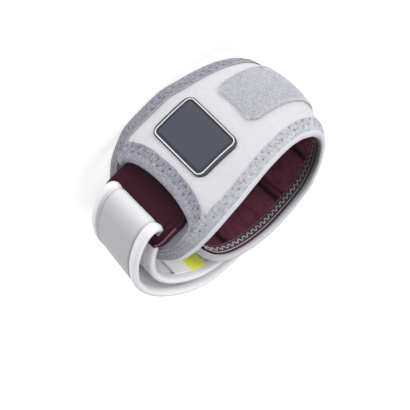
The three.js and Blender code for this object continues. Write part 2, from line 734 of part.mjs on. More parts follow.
// Raised line round the badge, as a frame of one cell
function badgeLine() {
  const columns = 14;
  const rows = 8;
  const face = GAP + BADGE_THICKNESS + GAP;
  const outerWidth = BADGE_WIDTH - 2 * BADGE_SIDE_MARGIN;
  const outerHeight = BADGE_HEIGHT - 2 * BADGE_END_MARGIN;
  const acrossAt = (i) => {
    if (i === 0) return -outerWidth / 2;
    if (i === columns) return outerWidth / 2;
    return (crowd((i - 1) / (columns - 2)) - 0.5) * (outerWidth - 2 * BADGE_LINE);
  };
  const levelAt = (half, j) => {
    if (j === 0) return -half;
    if (j === rows) return half;
    return (half - BADGE_LINE) * ((2 * (j - 1)) / (rows - 2) - 1);
  };
  const place = (i, j, side) => {
    const across = acrossAt(i);
    const share = across / outerWidth + 0.5;
    const half = roundedHalf(share, outerWidth, outerHeight, BADGE_CORNER - BADGE_END_MARGIN);
    const level = levelAt(half, j);
    const turn = BADGE_PLACE - across / speedAt(BADGE_PLACE);
    return shellPoint(turn, MIDDLE - BADGE_DROP + level, face + (side ? BADGE_LINE_HEIGHT : 0));
  };
  const filled = (i, j) => i === 0 || i === columns - 1 || j === 0 || j === rows - 1;
  return slab(columns, rows, place, filled);
}

function tennisElbowStrap() {
  const group = new THREE.Group();
  const badgeFace = GAP + BADGE_THICKNESS + GAP;
  const sideInset = BADGE_SIDE_MARGIN + BADGE_LINE + BADGE_GROOVE;
  const endInset = BADGE_END_MARGIN + BADGE_LINE + BADGE_GROOVE;
  group.add(
    named('lining', lining(), PLUM_PADDING),
    named('shell', shell(), WHITE_FABRIC),
    named('tongue_panel', tonguePanel(), TEAL_PANEL),
    named('top_bead', rimBead('top', TOP_BEAD_HEIGHT), WHITE_FABRIC),
    named('bottom_bead', rimBead('bottom', BOTTOM_BEAD_HEIGHT), GREY_BINDING),
    named('top_binding', outerBinding('top', TOP_BEAD_HEIGHT, TOP_BINDING_WIDTH), GREY_BINDING),
    named('bottom_binding', outerBinding('bottom', BOTTOM_BEAD_HEIGHT, BOTTOM_BINDING_WIDTH), GREY_BINDING),
    named('arch_binding', archBinding(), GREY_BINDING),
    named('top_tape', innerTape('top', TOP_BEAD_HEIGHT), DARK_TAPE),
    named('bottom_tape', innerTape('bottom', BOTTOM_BEAD_HEIGHT), DARK_TAPE),
    named('slide_ring', slideRing(), PLUM_PADDING),
    named('strap', strap(), STRAP_FABRIC),
    named('strap_lining', strapLining(), GREY_LOOP),
    named('hook_pad', hookPad(), GREY_BINDING),
    named('tag_printed', tag(TAG_PRINTED), LIME_PRINT),
    named('tag_bare', tag(TAG_BARE), STRAP_FABRIC),
    named('loop_patch', loopPatch(), PALE_PATCH),
    named('badge', badgePlate(0, 0, GAP, BADGE_THICKNESS), SLATE_RUBBER),
    named('badge_field', badgePlate(sideInset, endInset, badgeFace, BADGE_FIELD_HEIGHT), SLATE_RUBBER),
    named('badge_line', badgeLine(), WHITE_INK),
  );
  return group;
}

// The origin lies on the floor, under the middle of the whole strap
const model = tennisElbowStrap();
const extent = new THREE.Box3().setFromObject(model);
const centre = extent.getCenter(new THREE.Vector3());
model.position.set(-centre.x, -centre.y, -extent.min.z);

export default model;
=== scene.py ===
"""Looks of a tennis elbow strap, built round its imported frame.

The band, its bindings, the slide ring and the pull strap follow the surfaces of the frame. Sizes
are in millimetres, in the frame's own axes, and meshes are scaled to metres when they are made.
"""

import logging
import math
from collections.abc import Callable, Sequence
from dataclasses import dataclass, field
from enum import Enum

import bpy
import numpy as np
from mathutils import Matrix, Vector

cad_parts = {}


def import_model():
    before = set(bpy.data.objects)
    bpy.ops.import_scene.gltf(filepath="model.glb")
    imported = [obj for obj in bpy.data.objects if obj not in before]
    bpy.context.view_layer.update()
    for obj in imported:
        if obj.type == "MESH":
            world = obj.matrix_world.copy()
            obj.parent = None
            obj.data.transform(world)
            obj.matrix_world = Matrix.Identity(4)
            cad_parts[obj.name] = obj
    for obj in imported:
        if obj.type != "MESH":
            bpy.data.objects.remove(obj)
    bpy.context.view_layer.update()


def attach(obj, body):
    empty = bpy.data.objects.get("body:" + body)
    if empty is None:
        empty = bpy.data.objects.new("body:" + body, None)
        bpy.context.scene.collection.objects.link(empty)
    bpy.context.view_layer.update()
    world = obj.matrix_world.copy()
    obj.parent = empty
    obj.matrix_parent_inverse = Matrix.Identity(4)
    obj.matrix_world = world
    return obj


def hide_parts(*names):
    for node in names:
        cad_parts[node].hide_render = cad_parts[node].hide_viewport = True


LOG = logging.getLogger("elbow_strap")
Array = np.ndarray

METRES = 0.001
MAP_SCALE = 0.1
SHARP_DEGREES = 55
TINY = 1e-9
SAMPLES = 1500
BODY = "root"

# Direction that no tube of the strap runs along
TUBE_UP = np.array([0.13, 0.21, 0.97])

# Band edges as shares of half its width and bulge as a share of the largest, by turn
BAND_EDGES = np.array([
    (0.030, 0.20, 0.20, 0.05), (0.040, 0.40, 0.36, 0.05), (0.068, 0.63, 0.52, 0.08),
    (0.103, 0.83, 0.67, 0.12), (0.126, 0.90, 0.76, 0.16), (0.146, 0.95, 0.85, 0.18),
    (0.182, 0.99, 0.95, 0.21), (0.205, 1.00, 1.00, 0.30), (0.244, 0.99, 1.00, 0.45),
    (0.280, 0.95, 1.00, 0.50), (0.306, 0.91, 0.96, 0.54), (0.339, 0.86, 0.92, 0.62),
    (0.378, 0.81, 0.88, 0.78), (0.426, 0.78, 0.83, 0.94), (0.500, 0.77, 0.79, 1.00),
    (0.567, 0.80, 0.86, 0.90), (0.622, 0.85, 0.96, 0.72), (0.660, 0.88, 1.00, 0.62),
    (0.741, 0.88, 1.00, 0.50), (0.787, 0.85, 1.00, 0.42), (0.818, 0.80, 0.98, 0.28),
    (0.839, 0.73, 0.88, 0.20), (0.850, 0.66, 0.77, 0.16), (0.861, 0.50, 0.56, 0.10),
    (0.868, 0.33, 0.35, 0.05),
])
BULGE_COLUMN = 3

# Turns of the creases between the pads
CREASES = (0.10, 0.185, 0.275, 0.36, 0.445, 0.53, 0.619, 0.709, 0.819)

# Lift of the shell over the slide ring by turn
SHELL_LIFT = np.array([(0.130, 0.0), (0.150, 0.8), (0.170, 1.0), (0.205, 0.7), (0.250, 0.0)])

# Distance of the slide ring's middle from the oval by turn
RING_PATH = np.array([
    (0.0980, 1.08), (0.1060, 1.02), (0.1155, 0.97), (0.1245, 0.86), (0.1335, 0.74),
    (0.1450, 0.57), (0.1600, 0.32), (0.1750, 0.23), (0.2000, 0.23),
])

# Route of the strap: turn, gap to the layer's seat, rise and lean
INNER_ROUTE = (
    (0.777, 0.38, 1.00, 0), (0.797, 0.38, 1.00, 0), (0.817, 0.40, 1.00, 0),
    (0.846, 0.50, 1.00, 0), (0.875, 0.47, 0.96, 0), (0.905, 0.25, 0.86, 0),
    (0.935, 0.08, 0.74, 0), (0.968, 0.00, 0.58, 0), (1.000, 0.00, 0.42, 0),
    (1.033, 0.00, 0.28, 0), (1.062, 0.00, 0.16, 0), (1.090, 0.00, 0.07, 0),
    (1.110, 0.00, 0.02, 0),
)
FOLD_ROUTE = ((1.1245, 1.08), (1.1305, 1.58), (1.1328, 2.24), (1.1305, 2.88))
OUTER_ROUTE = (
    (1.1210, 0.88, 0.00, 0.00), (1.1040, 1.02, 0.00, 0.10), (1.0840, 1.00, 0.05, 0.30),
    (1.0620, 0.92, 0.12, 0.55), (1.0420, 0.82, 0.20, 0.80), (1.0220, 0.76, 0.30, 1.00),
    (1.0000, 0.64, 0.42, 1.00), (0.9780, 0.56, 0.54, 0.90), (0.9550, 0.56, 0.65, 0.70),
    (0.9300, 0.70, 0.76, 0.50), (0.9050, 0.96, 0.86, 0.30), (0.8800, 1.18, 0.94, 0.10),
    (0.8550, 1.22, 1.00, 0.00), (0.8300, 1.04, 1.00, 0.00), (0.8050, 0.80, 1.00, 0.00),
    (0.7850, 0.62, 1.00, 0.00), (0.7670, 0.52, 1.00, 0.00),
)

# Faces of the strap by place across it: the lined one and the smooth one
STRAP_SECTION = np.array([
    (0.00, 0.22, 0.40), (0.58, 0.22, 0.385), (0.64, 0.24, 0.35), (0.685, 0.30, 0.25),
    (0.73, 0.38, 0.36), (0.80, 0.47, 0.47), (0.88, 0.48, 0.49), (0.95, 0.40, 0.40),
    (0.985, 0.27, 0.27), (1.00, 0.10, 0.10),
])


def smooth_column(table: Array, column: int, places: Array) -> Array:
    """Gives one column of a table at any place, smoothly and without overshoot.

    Args:
        table: rows that start with their place, in rising order.
        column: the column that is read.
        places: where it is read.

    Returns:
        The values at the places.
    """
    known, values = table[:, 0], table[:, column]
    secants = np.diff(values) / np.diff(known)
    before, after = secants[:-1], secants[1:]
    total = before + after
    safe = np.where(np.abs(total) < 1e-12, 1.0, total)
    slopes = np.zeros(len(known))
    slopes[1:-1] = np.where(before * after <= 0, 0.0, 2 * before * after / safe)
    places = np.clip(places, known[0], known[-1])
    row = np.clip(np.searchsorted(known, places, side="right") - 1, 0, len(known) - 2)
    span = known[row + 1] - known[row]
    t = (places - known[row]) / span
    rest = 1 - t
    return (values[row] * rest * rest * (1 + 2 * t) + values[row + 1] * t * t * (3 - 2 * t)
            + span * t * rest * (slopes[row] * rest - slopes[row + 1] * t))


def crowd(steps: int, strength: float = 0.65) -> Array:
    """Gives steps from nought to one that are closer together towards both ends."""
    share = np.linspace(0, 1, steps + 1)
    return share - strength * np.sin(2 * np.pi * share) / (2 * np.pi)


def hill(distance: Array, width: float) -> Array:
    """Gives a soft bump that is one at no distance and fades over a width."""
    return np.exp(-(distance / width) ** 2)


def rounded(distance: Array, radius: float) -> Array:
    """Gives the height of a rounded edge, from nought at the edge to one past its radius."""
    into = np.clip(1 - distance / radius, 0, 1)
    return np.sqrt(1 - into * into)


def run_length(points: Array) -> Array:
    """Gives the distance run along a line of points, from nought at the first."""
    steps = np.linalg.norm(np.diff(points, axis=0), axis=1)
    return np.concatenate([[0.0], np.cumsum(steps)])


def run_rows(points: Array) -> Array:
    """Gives the distance run down the middle column of a grid, for every point of it."""
    middle = points[:, points.shape[1] // 2]
    return np.broadcast_to(run_length(middle)[:, None], points.shape[:2])


def map_rows(u: Array, v: Array) -> Array:
    """Gives the map of each point from its two grids."""
    return np.stack([u, v], -1).reshape(-1, 2)


def even_steps(length: Array, spacing: float) -> Array:
    """Gives even distances along a line, from its start to its end."""
    return np.linspace(0, length[-1], int(length[-1] / spacing))


def ramp_up(value: Array, start: float, span: float) -> Array:
    """Gives a straight rise from nought at a start to one at the end of its span."""
    return np.clip((value - start) / span, 0, 1)


def ramp_down(value: Array, stop: float, span: float) -> Array:
    """Gives a straight fall over a span, from one before it to nought at its stop."""
    return np.clip((stop - value) / span, 0, 1)


class SoftNoise:
    """Smooth noise over space, the same in each run."""

    size: int = 32

    def __init__(self, seed: int) -> None:
        """Fills the lattice.

        Args:
            seed: the number that the lattice is drawn from.
        """
        draw = np.random.default_rng(seed)
        self.lattice = draw.random((self.size,) * 3) * 2 - 1

    def at(self, points: Array, scale: float) -> Array:
        """Reads the noise.

        Args:
            points: places in millimetres, with three numbers in the last axis.
            scale: size of one lattice cell.

        Returns:
            Values from minus one to one.
        """
        place = points / scale
        cell = np.floor(place).astype(int)
        t = place - cell
        t = t * t * (3 - 2 * t)
        value = np.zeros(points.shape[:-1])
        for corner in np.ndindex(2, 2, 2):
            index = (cell + np.array(corner)) % self.size
            weight = np.prod(np.where(np.array(corner) == 1, t, 1 - t), axis=-1)
            value += weight * self.lattice[index[..., 0], index[..., 1], index[..., 2]]
        return value


class Side(Enum):
    """Rim of the band, with its column in the table of edges."""

    TOP = 1
    BOTTOM = 2


@dataclass(frozen=True)
class Band:
    """Shape of the forearm band's wall: an oval with a bulge, cut to its outline."""

    oval_length: float = 107.0
    oval_depth: float = 54.0
    width: float = 81.5
    bulge: float = 6.9
    start: float = 0.03
    end: float = 0.868
    shell_lift: float = 4.5
    origin_x: float = 3.6919
    origin_y: float = 30.6304
    shell_thickness: float = 1.0
    lining_gap: float = 0.5
    lining_thickness: float = 2.4
    top_bead: float = 3.2
    bottom_bead: float = 2.6
    gap: float = 0.3
    edge_steps: int = 8

    @property
    def middle(self) -> float:
        """Gives the height of the band's middle."""
        return self.width / 2

    @property
    def lining_out(self) -> float:
        """Gives the outer face of the lining."""
        return -self.shell_thickness - self.lining_gap

    @property
    def lining_in(self) -> float:
        """Gives the inner face of the lining between its pads."""
        return self.lining_out - self.lining_thickness

    def bead(self, side: Side) -> float:
        """Gives the height of a rim's bead."""
        return self.top_bead if side is Side.TOP else self.bottom_bead

    def point(self, turn: Array, height: Array, out: Array) -> Array:
        """Places points on the oval.

        Args:
            turn: places along the oval, as shares of a full turn.
            height: heights above the floor.
            out: distances outwards.

        Returns:
            Points in the frame's axes.
        """
        angle = np.asarray(turn) * 2 * np.pi
        nx, ny = self.oval_depth * np.cos(angle), -self.oval_length * np.sin(angle)
        size = np.hypot(nx, ny)
        x = self.oval_length / 2 * np.cos(angle) + nx / size * out - self.origin_x
        y = self.oval_depth / 2 * (1 - np.sin(angle)) + ny / size * out - self.origin_y
        return np.stack(np.broadcast_arrays(x, y, np.asarray(height, float)), axis=-1)

    def speed(self, turn: Array) -> Array:
        """Gives the length of a whole turn at the pace of one place."""
        angle = np.asarray(turn) * 2 * np.pi
        return np.pi * np.hypot(self.oval_length * np.sin(angle), self.oval_depth * np.cos(angle))

    def turn_at_x(self, x: Array) -> Array:
        """Gives the turn at which the front of the oval has an X."""
        return np.arccos(2 * np.asarray(x) / self.oval_length) / (2 * np.pi)

    def edge_height(self, turn: Array, side: Side, inset: float) -> Array:
        """Gives the height of an edge that is set in from the outline in every direction.

        Args:
            turn: places along the oval.
            side: the rim.
            inset: distance from the outline.

        Returns:
            Heights above the floor.
        """
        turn = np.asarray(turn, float)
        reach = inset / self.speed(turn)
        half = np.full(turn.shape, np.inf)
        for away in np.arange(-self.edge_steps, self.edge_steps + 1) / self.edge_steps:
            outline = smooth_column(BAND_EDGES, side.value, turn + away * reach) * self.middle
            half = np.minimum(half, outline - inset * math.sqrt(1 - away * away))
        return self.middle + half if side is Side.TOP else self.middle - half

    def edges(self, turn: Array, clearance: float) -> tuple[Array, Array]:
        """Gives the lower and the upper height of cloth that keeps clear of the beads."""
        low = self.edge_height(turn, Side.BOTTOM, self.bottom_bead + clearance)
        return low, self.edge_height(turn, Side.TOP, self.top_bead + clearance)

    def bulge_at(self, turn: Array, height: Array, lifted: bool) -> Array:
        """Gives the outward bulge of the wall, with the shell's lift if it is asked for."""
        top = smooth_column(BAND_EDGES, Side.TOP.value, turn)
        bottom = smooth_column(BAND_EDGES, Side.BOTTOM.value, turn)
        half = np.where(height > self.middle, top, bottom) * self.middle
        share = np.clip(np.abs(height - self.middle) / half, 0, 1)
        bulge = self.bulge * smooth_column(BAND_EDGES, BULGE_COLUMN, turn) * (1 - share ** 2)
        if not lifted:
            return bulge
        return bulge + self.shell_lift * smooth_column(SHELL_LIFT, 1, turn) * (1 - share ** 4)

    def wall(self, turn: Array, height: Array, out: Array) -> Array:
        """Places points on the band's wall."""
        return self.point(turn, height, out + self.bulge_at(turn, height, False))

    def shell(self, turn: Array, height: Array, out: Array) -> Array:
        """Places points on the outer shell, which lifts over the slide ring."""
        return self.point(turn, height, out + self.bulge_at(turn, height, True))


@dataclass(frozen=True)
class Arch:
    """Arch that is cut out of the shell over the tongue."""

    band: Band
    place: float = 20.6
    height: float = 59.0
    depth: float = 8.2
    centre: float = 2.4

    def turn_at(self, height: Array) -> Array:
        """Gives the turn of the arch's edge at a height."""
        share = np.abs(height - self.band.middle - self.centre) / (self.height / 2)
        share = np.clip(share, 0, 1)
        return self.band.turn_at_x(self.place + self.depth * (1 - np.sqrt(1 - share * share)))

    @property
    def turn(self) -> float:
        """Gives the turn of the arch's deepest place."""
        return float(self.band.turn_at_x(self.place))


@dataclass
class Sheet:
    """A sheet with two faces on one grid, its map in millimetres and its masks."""

    front: Array
    back: Array
    u: Array
    v: Array
    shade: Array | None = None
    filled: Array | None = None

    def flat_size(self) -> tuple[float, float, float]:
        """Gives the width, length and area of the cloth laid flat, in metres."""
        grid = (self.front + self.back) / 2
        along = np.linalg.norm(np.diff(grid, axis=0), axis=2).sum(axis=0).max()
        across = np.linalg.norm(np.diff(grid, axis=1), axis=2).sum(axis=1).max()
        one, two = grid[1:, 1:] - grid[:-1, :-1], grid[1:, :-1] - grid[:-1, 1:]
        area = np.linalg.norm(np.cross(one, two), axis=2).sum() / 2
        return across * METRES, along * METRES, area * METRES ** 2

    def faces(self) -> tuple[Array, Array]:
        """Gives the quads of the closed sheet, and the points that they use."""
        nu, nv = self.u.shape
        filled = np.ones((nu - 1, nv - 1), bool) if self.filled is None else self.filled
        total = nu * nv
        number = np.arange(total).reshape(nu, nv)
        i, j = np.nonzero(filled)
        corners = number[i, j], number[i + 1, j], number[i + 1, j + 1], number[i, j + 1]
        front = np.stack(corners, 1)
        quads = [front, front[:, ::-1] + total]
        framed = np.pad(filled, 1)
        below, above = framed[1:-1, :-1], framed[1:-1, 1:]
        left, right = framed[:-1, 1:-1], framed[1:, 1:-1]
        for mask, start, stop in (
            (above & ~below, (0, 0), (1, 0)), (below & ~above, (1, 0), (0, 0)),
            (left & ~right, (0, 0), (0, 1)), (right & ~left, (0, 1), (0, 0)),
        ):
            i, j = np.nonzero(mask)
            p = number[i + start[0], j + start[1]]
            q = number[i + stop[0], j + stop[1]]
            quads.append(np.stack([p + total, q + total, q, p], 1))
        quads = np.concatenate(quads)
        used, quads = np.unique(quads, return_inverse=True)
        return quads.reshape(-1, 4), used


@dataclass
class Tubes:
    """Round tubes of one radius, each with the same number of points."""

    paths: Array
    radius: float
    sides: int = 8
    squeeze: float = 1.0
    shade: Array | float = 0.0

    def mesh(self) -> tuple[Array, list[list[int]], Array]:
        """Sweeps the tubes.

        Returns:
            Points, faces with their end caps, and the map of each point.
        """
        count, steps, _ = self.paths.shape
        along = np.gradient(self.paths, axis=1)
        along /= np.maximum(np.linalg.norm(along, axis=2, keepdims=True), TINY)
        side = np.cross(along, TUBE_UP)
        side /= np.maximum(np.linalg.norm(side, axis=2, keepdims=True), TINY)
        top = np.cross(side, along)
        angle = np.linspace(0, 2 * np.pi, self.sides, endpoint=False)
        ring = (side[:, :, None] * np.cos(angle)[:, None]
                + top[:, :, None] * np.sin(angle)[:, None] * self.squeeze) * self.radius
        points = (self.paths[:, :, None] + ring).reshape(-1, 3)
        number = np.arange(len(points)).reshape(count, steps, self.sides)
        turned = np.roll(number, -1, axis=2)
        quads = np.stack([number[:, :-1], turned[:, :-1], turned[:, 1:], number[:, 1:]], -1)
        faces = quads.reshape(-1, 4).tolist()
        faces += number[:, 0, ::-1].tolist() + number[:, -1].tolist()
        run = np.cumsum(np.linalg.norm(np.diff(self.paths, axis=1), axis=2), axis=1)
        length = np.concatenate([np.zeros((count, 1)), run], axis=1)
        u = np.broadcast_to(length[:, :, None], number.shape)
        v = np.broadcast_to(angle * self.radius, number.shape)
        return points, faces, map_rows(u, v)


def signed_volume(points: Array, faces: Sequence[Sequence[int]]) -> float:
    """Gives six times the volume that faces enclose, negative if they look inwards."""
    total = 0.0
    for size in {len(face) for face in faces}:
        block = np.array([face for face in faces if len(face) == size])
        for k in range(1, size - 1):
            a, b, c = points[block[:, 0]], points[block[:, k]], points[block[:, k + 1]]
            total += float((a * np.cross(b, c)).sum())
    return total


def make_piece(name: str, points: Array, faces: list[list[int]], uv: Array,
               finish: bpy.types.Material, shade: Array | None = None) -> bpy.types.Object:
    """Makes one mesh piece.

    Args:
        name: the piece's name.
        points: points in millimetres.
        faces: closed faces.
        uv: map of each point in millimetres.
        finish: the material.
        shade: darkening of each point, from nought to one.

    Returns:
        The linked object.
    """
    if signed_volume(points, faces) < 0:
        faces = [face[::-1] for face in faces]
    mesh = bpy.data.meshes.new(name)
    mesh.from_pydata((points * METRES).tolist(), [], faces)
    mesh.update()
    corners = np.zeros(len(mesh.loops), np.int32)
    mesh.loops.foreach_get("vertex_index", corners)
    layer = mesh.uv_layers.new(name="cloth")
    layer.data.foreach_set("uv", (uv[corners] * MAP_SCALE).astype(np.float32).ravel())
    mask = mesh.attributes.new("shade", "FLOAT", "POINT")
    values = np.zeros(len(points)) if shade is None else np.clip(shade, 0, 1)
    mask.data.foreach_set("value", values.astype(np.float32))
    mesh.polygons.foreach_set("use_smooth", np.ones(len(mesh.polygons), bool))
    mesh.set_sharp_from_angle(angle=math.radians(SHARP_DEGREES))
    mesh.materials.append(finish)
    piece = bpy.data.objects.new(name, mesh)
    bpy.context.scene.collection.objects.link(piece)
    return piece


def dress(piece: bpy.types.Object, slot: str, *nodes: str) -> bpy.types.Object:
    """Makes a piece ride on the body and stand for CAD nodes.

    Args:
        piece: the piece.
        slot: the record's material slot.
        nodes: the nodes that it replaces.

    Returns:
        The same piece.
    """
    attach(piece, BODY)
    if nodes:
        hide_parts(*nodes)
    LOG.info("piece %s: %d faces, %s", piece.name, len(piece.data.polygons), slot)
    return piece


def sheet_piece(name: str, sheet: Sheet, finish: bpy.types.Material, slot: str, *nodes: str,
                ) -> bpy.types.Object:
    """Makes a piece from a sheet and dresses it.

    Args:
        name: the piece's name.
        sheet: its two faces.
        finish: the material.
        slot: the record's material slot.
        nodes: the nodes that it replaces.

    Returns:
        The piece.
    """
    quads, used = sheet.faces()
    points = np.concatenate([sheet.front.reshape(-1, 3), sheet.back.reshape(-1, 3)])[used]
    uv = np.tile(map_rows(sheet.u, sheet.v), (2, 1))[used]
    shade = None if sheet.shade is None else np.tile(sheet.shade.ravel(), 2)[used]
    piece = make_piece(name, points, quads.tolist(), uv, finish, shade)
    return dress(piece, slot, *nodes)


def tube_piece(name: str, tubes: Tubes, finish: bpy.types.Material, slot: str, *nodes: str,
               ) -> bpy.types.Object:
    """Makes a piece from tubes and dresses it."""
    points, faces, uv = tubes.mesh()
    shade = np.repeat(np.broadcast_to(tubes.shade, tubes.paths.shape[:2]).ravel(), tubes.sides)
    return dress(make_piece(name, points, faces, uv, finish, shade), slot, *nodes)


def folded_edge(name: str, line: Array, radius: float,
                cloth: bpy.types.Material) -> bpy.types.Object:
    """Makes the light folded edge of a binding along a line of points."""
    return tube_piece(f"{name}_fold", Tubes(line[None], radius, 8, 0.9), cloth, "grey_binding")


def declare_cloth(piece: bpy.types.Object, sheet: Sheet) -> None:
    """Measures the width, length and area of a piece's cloth laid flat, from its grid; nothing more
    is done with them.

    Args:
        piece: the piece; not used.
        sheet: the sheet that it was made from.
    """
    width, length, area = sheet.flat_size()


def grid(first: Array, second: Array) -> tuple[Array, Array]:
    """Spreads two lists over a grid, the first along its rows."""
    return np.meshgrid(first, second, indexing="ij")


class Graph:
    """A node tree that is filled by short calls."""

    def __init__(self, tree: bpy.types.NodeTree) -> None:
        """Keeps the tree."""
        self.tree = tree

    def add(self, kind: str, settings: dict[str, object] | None = None,
            **inputs: object) -> bpy.types.Node:
        """Adds a node.

        Args:
            kind: the node's type.
            settings: its properties.
            inputs: values or sockets for its inputs, with spaces in names as underscores.

        Returns:
            The node.
        """
        node = self.tree.nodes.new(kind)
        for name, value in (settings or {}).items():
            setattr(node, name, value)
        for name, value in inputs.items():
            key = int(name[1:]) if name[0] == "_" else name.replace("_", " ")
            socket = node.inputs[key]
            if isinstance(value, bpy.types.NodeSocket):
                self.tree.links.new(value, socket)
            else:
                socket.default_value = value
        return node

    def maths(self, operation: str, *values: object) -> bpy.types.NodeSocket:
        """Adds a maths node and gives its result."""
        inputs = {f"_{k}": value for k, value in enumerate(values)}
        return self.add("ShaderNodeMath", {"operation": operation}, **inputs).outputs[0]

    def scaled(self, vector: bpy.types.NodeSocket, scale: float) -> bpy.types.NodeSocket:
        """Scales a vector and gives the result."""
        return self.add("ShaderNodeVectorMath", {"operation": "SCALE"}, _0=vector,
                        Scale=scale).outputs[0]


class Relief(Enum):
    """Surface of a cloth, with the name of its shared node group."""

    WOVEN = "woven_relief"
    KNIT = "knit_relief"
    BRUSHED = "brushed_relief"
    PILE = "pile_relief"


class SharedEffects:
    """Node groups that the materials share."""

    def __init__(self) -> None:
        """Builds every group once."""
        self.groups: dict[str, bpy.types.NodeTree] = {}
        self._woven()
        self._knit()
        self._brushed()
        self._pile()
        self._mottle()

    def _start(self, name: str, setting: str, value: float, output: str,
               ) -> tuple[Graph, bpy.types.Node, bpy.types.Node]:
        """Starts a group with a vector and one number as its inputs.

        Args:
            name: the group's name.
            setting: name of the number.
            value: the number if nothing sets it.
            output: name of its one output.

        Returns:
            The graph, its input node and its output node.
        """
        tree = bpy.data.node_groups.new(name, "ShaderNodeTree")
        tree.interface.new_socket("Vector", in_out="INPUT", socket_type="NodeSocketVector")
        number = tree.interface.new_socket(setting, in_out="INPUT", socket_type="NodeSocketFloat")
        number.default_value = value
        tree.interface.new_socket(output, in_out="OUTPUT", socket_type="NodeSocketFloat")
        self.groups[name] = tree
        graph = Graph(tree)
        return graph, graph.add("NodeGroupInput"), graph.add("NodeGroupOutput")

    def _woven(self) -> None:
        """Crossing threads of a plain weave."""
        graph, inputs, output = self._start(Relief.WOVEN.value, "Pitch", 0.5, "Height")
        split = graph.add("ShaderNodeSeparateXYZ", _0=inputs.outputs["Vector"])
        turns = graph.maths("DIVIDE", 2 * math.pi, inputs.outputs["Pitch"])
        across = graph.maths("SINE", graph.maths("MULTIPLY", split.outputs[0], turns))
        along = graph.maths("SINE", graph.maths("MULTIPLY", split.outputs[1], turns))
        product = graph.maths("MULTIPLY", across, along)
        height = graph.maths("MULTIPLY_ADD", product, 0.5, 0.5)
        graph.tree.links.new(height, output.inputs["Height"])

    def _knit(self) -> None:
        """Columns of slanting stitches."""
        graph, inputs, output = self._start(Relief.KNIT.value, "Pitch", 0.6, "Height")
        split = graph.add("ShaderNodeSeparateXYZ", _0=inputs.outputs["Vector"])
        column = graph.maths("DIVIDE", split.outputs[0], inputs.outputs["Pitch"])
        beside = graph.maths("ABSOLUTE", graph.maths("SUBTRACT", graph.maths("FRACT", column), 0.5))
        row = graph.maths("DIVIDE", split.outputs[1], inputs.outputs["Pitch"])
        phase = graph.maths("MULTIPLY", graph.maths("ADD", row, beside), 2 * math.pi)
        stitch = graph.maths("MULTIPLY_ADD", graph.maths("SINE", phase), 0.3, 0.5)
        height = graph.maths("SUBTRACT", stitch, graph.maths("MULTIPLY", beside, 0.4))
        graph.tree.links.new(height, output.inputs["Height"])

    def _brushed(self) -> None:
        """Short raised fibres that lie one way."""
        graph, inputs, output = self._start(Relief.BRUSHED.value, "Pitch", 0.5, "Height")
        scale = graph.maths("DIVIDE", 1.0, inputs.outputs["Pitch"])
        fine = graph.add("ShaderNodeTexNoise", Vector=inputs.outputs["Vector"], Scale=scale,
                         Detail=3.0, Roughness=0.65, Distortion=0.8)
        cells = graph.add("ShaderNodeTexVoronoi", Vector=inputs.outputs["Vector"],
                          Scale=graph.maths("MULTIPLY", scale, 0.8))
        height = graph.maths("SUBTRACT", fine.outputs[0],
                             graph.maths("MULTIPLY", cells.outputs["Distance"], 0.35))
        graph.tree.links.new(height, output.inputs["Height"])

    def _pile(self) -> None:
        """Upright loops of a pile."""
        graph, inputs, output = self._start(Relief.PILE.value, "Pitch", 0.5, "Height")
        scale = graph.maths("DIVIDE", 1.0, inputs.outputs["Pitch"])
        cells = graph.add("ShaderNodeTexVoronoi", Vector=inputs.outputs["Vector"], Scale=scale,
                          Detail=1.0)
        tangle = graph.add("ShaderNodeTexNoise", Vector=inputs.outputs["Vector"], Scale=scale,
                           Detail=4.0, Roughness=0.7, Distortion=1.5)
        loops = graph.maths("SUBTRACT", 1.0, cells.outputs["Distance"])
        height = graph.maths("MULTIPLY", loops, tangle.outputs[0])
        graph.tree.links.new(height, output.inputs["Height"])

    def _mottle(self) -> None:
        """Cloudy and fine variation of a colour."""
        graph, inputs, output = self._start("mottle", "Size", 6.0, "Value")
        scale = graph.maths("DIVIDE", 1.0, inputs.outputs["Size"])
        broad = graph.add("ShaderNodeTexNoise", Vector=inputs.outputs["Vector"], Scale=scale,
                          Detail=2.0)
        fine = graph.add("ShaderNodeTexNoise", Vector=inputs.outputs["Vector"],
                         Scale=graph.maths("MULTIPLY", scale, 11.0), Detail=2.0)
        both = graph.maths("MULTIPLY_ADD", broad.outputs[0], 0.55,
                           graph.maths("MULTIPLY", fine.outputs[0], 0.45))
        graph.tree.links.new(both, output.inputs["Value"])


def linear(colour: Sequence[float]) -> tuple[float, float, float, float]:
    """Turns a screen colour of 0 to 255 into a linear one."""
    share = [c / 255 for c in colour]
    values = [c / 12.92 if c <= 0.04045 else ((c + 0.055) / 1.055) ** 2.4 for c in share]
    return values[0], values[1], values[2], 1.0


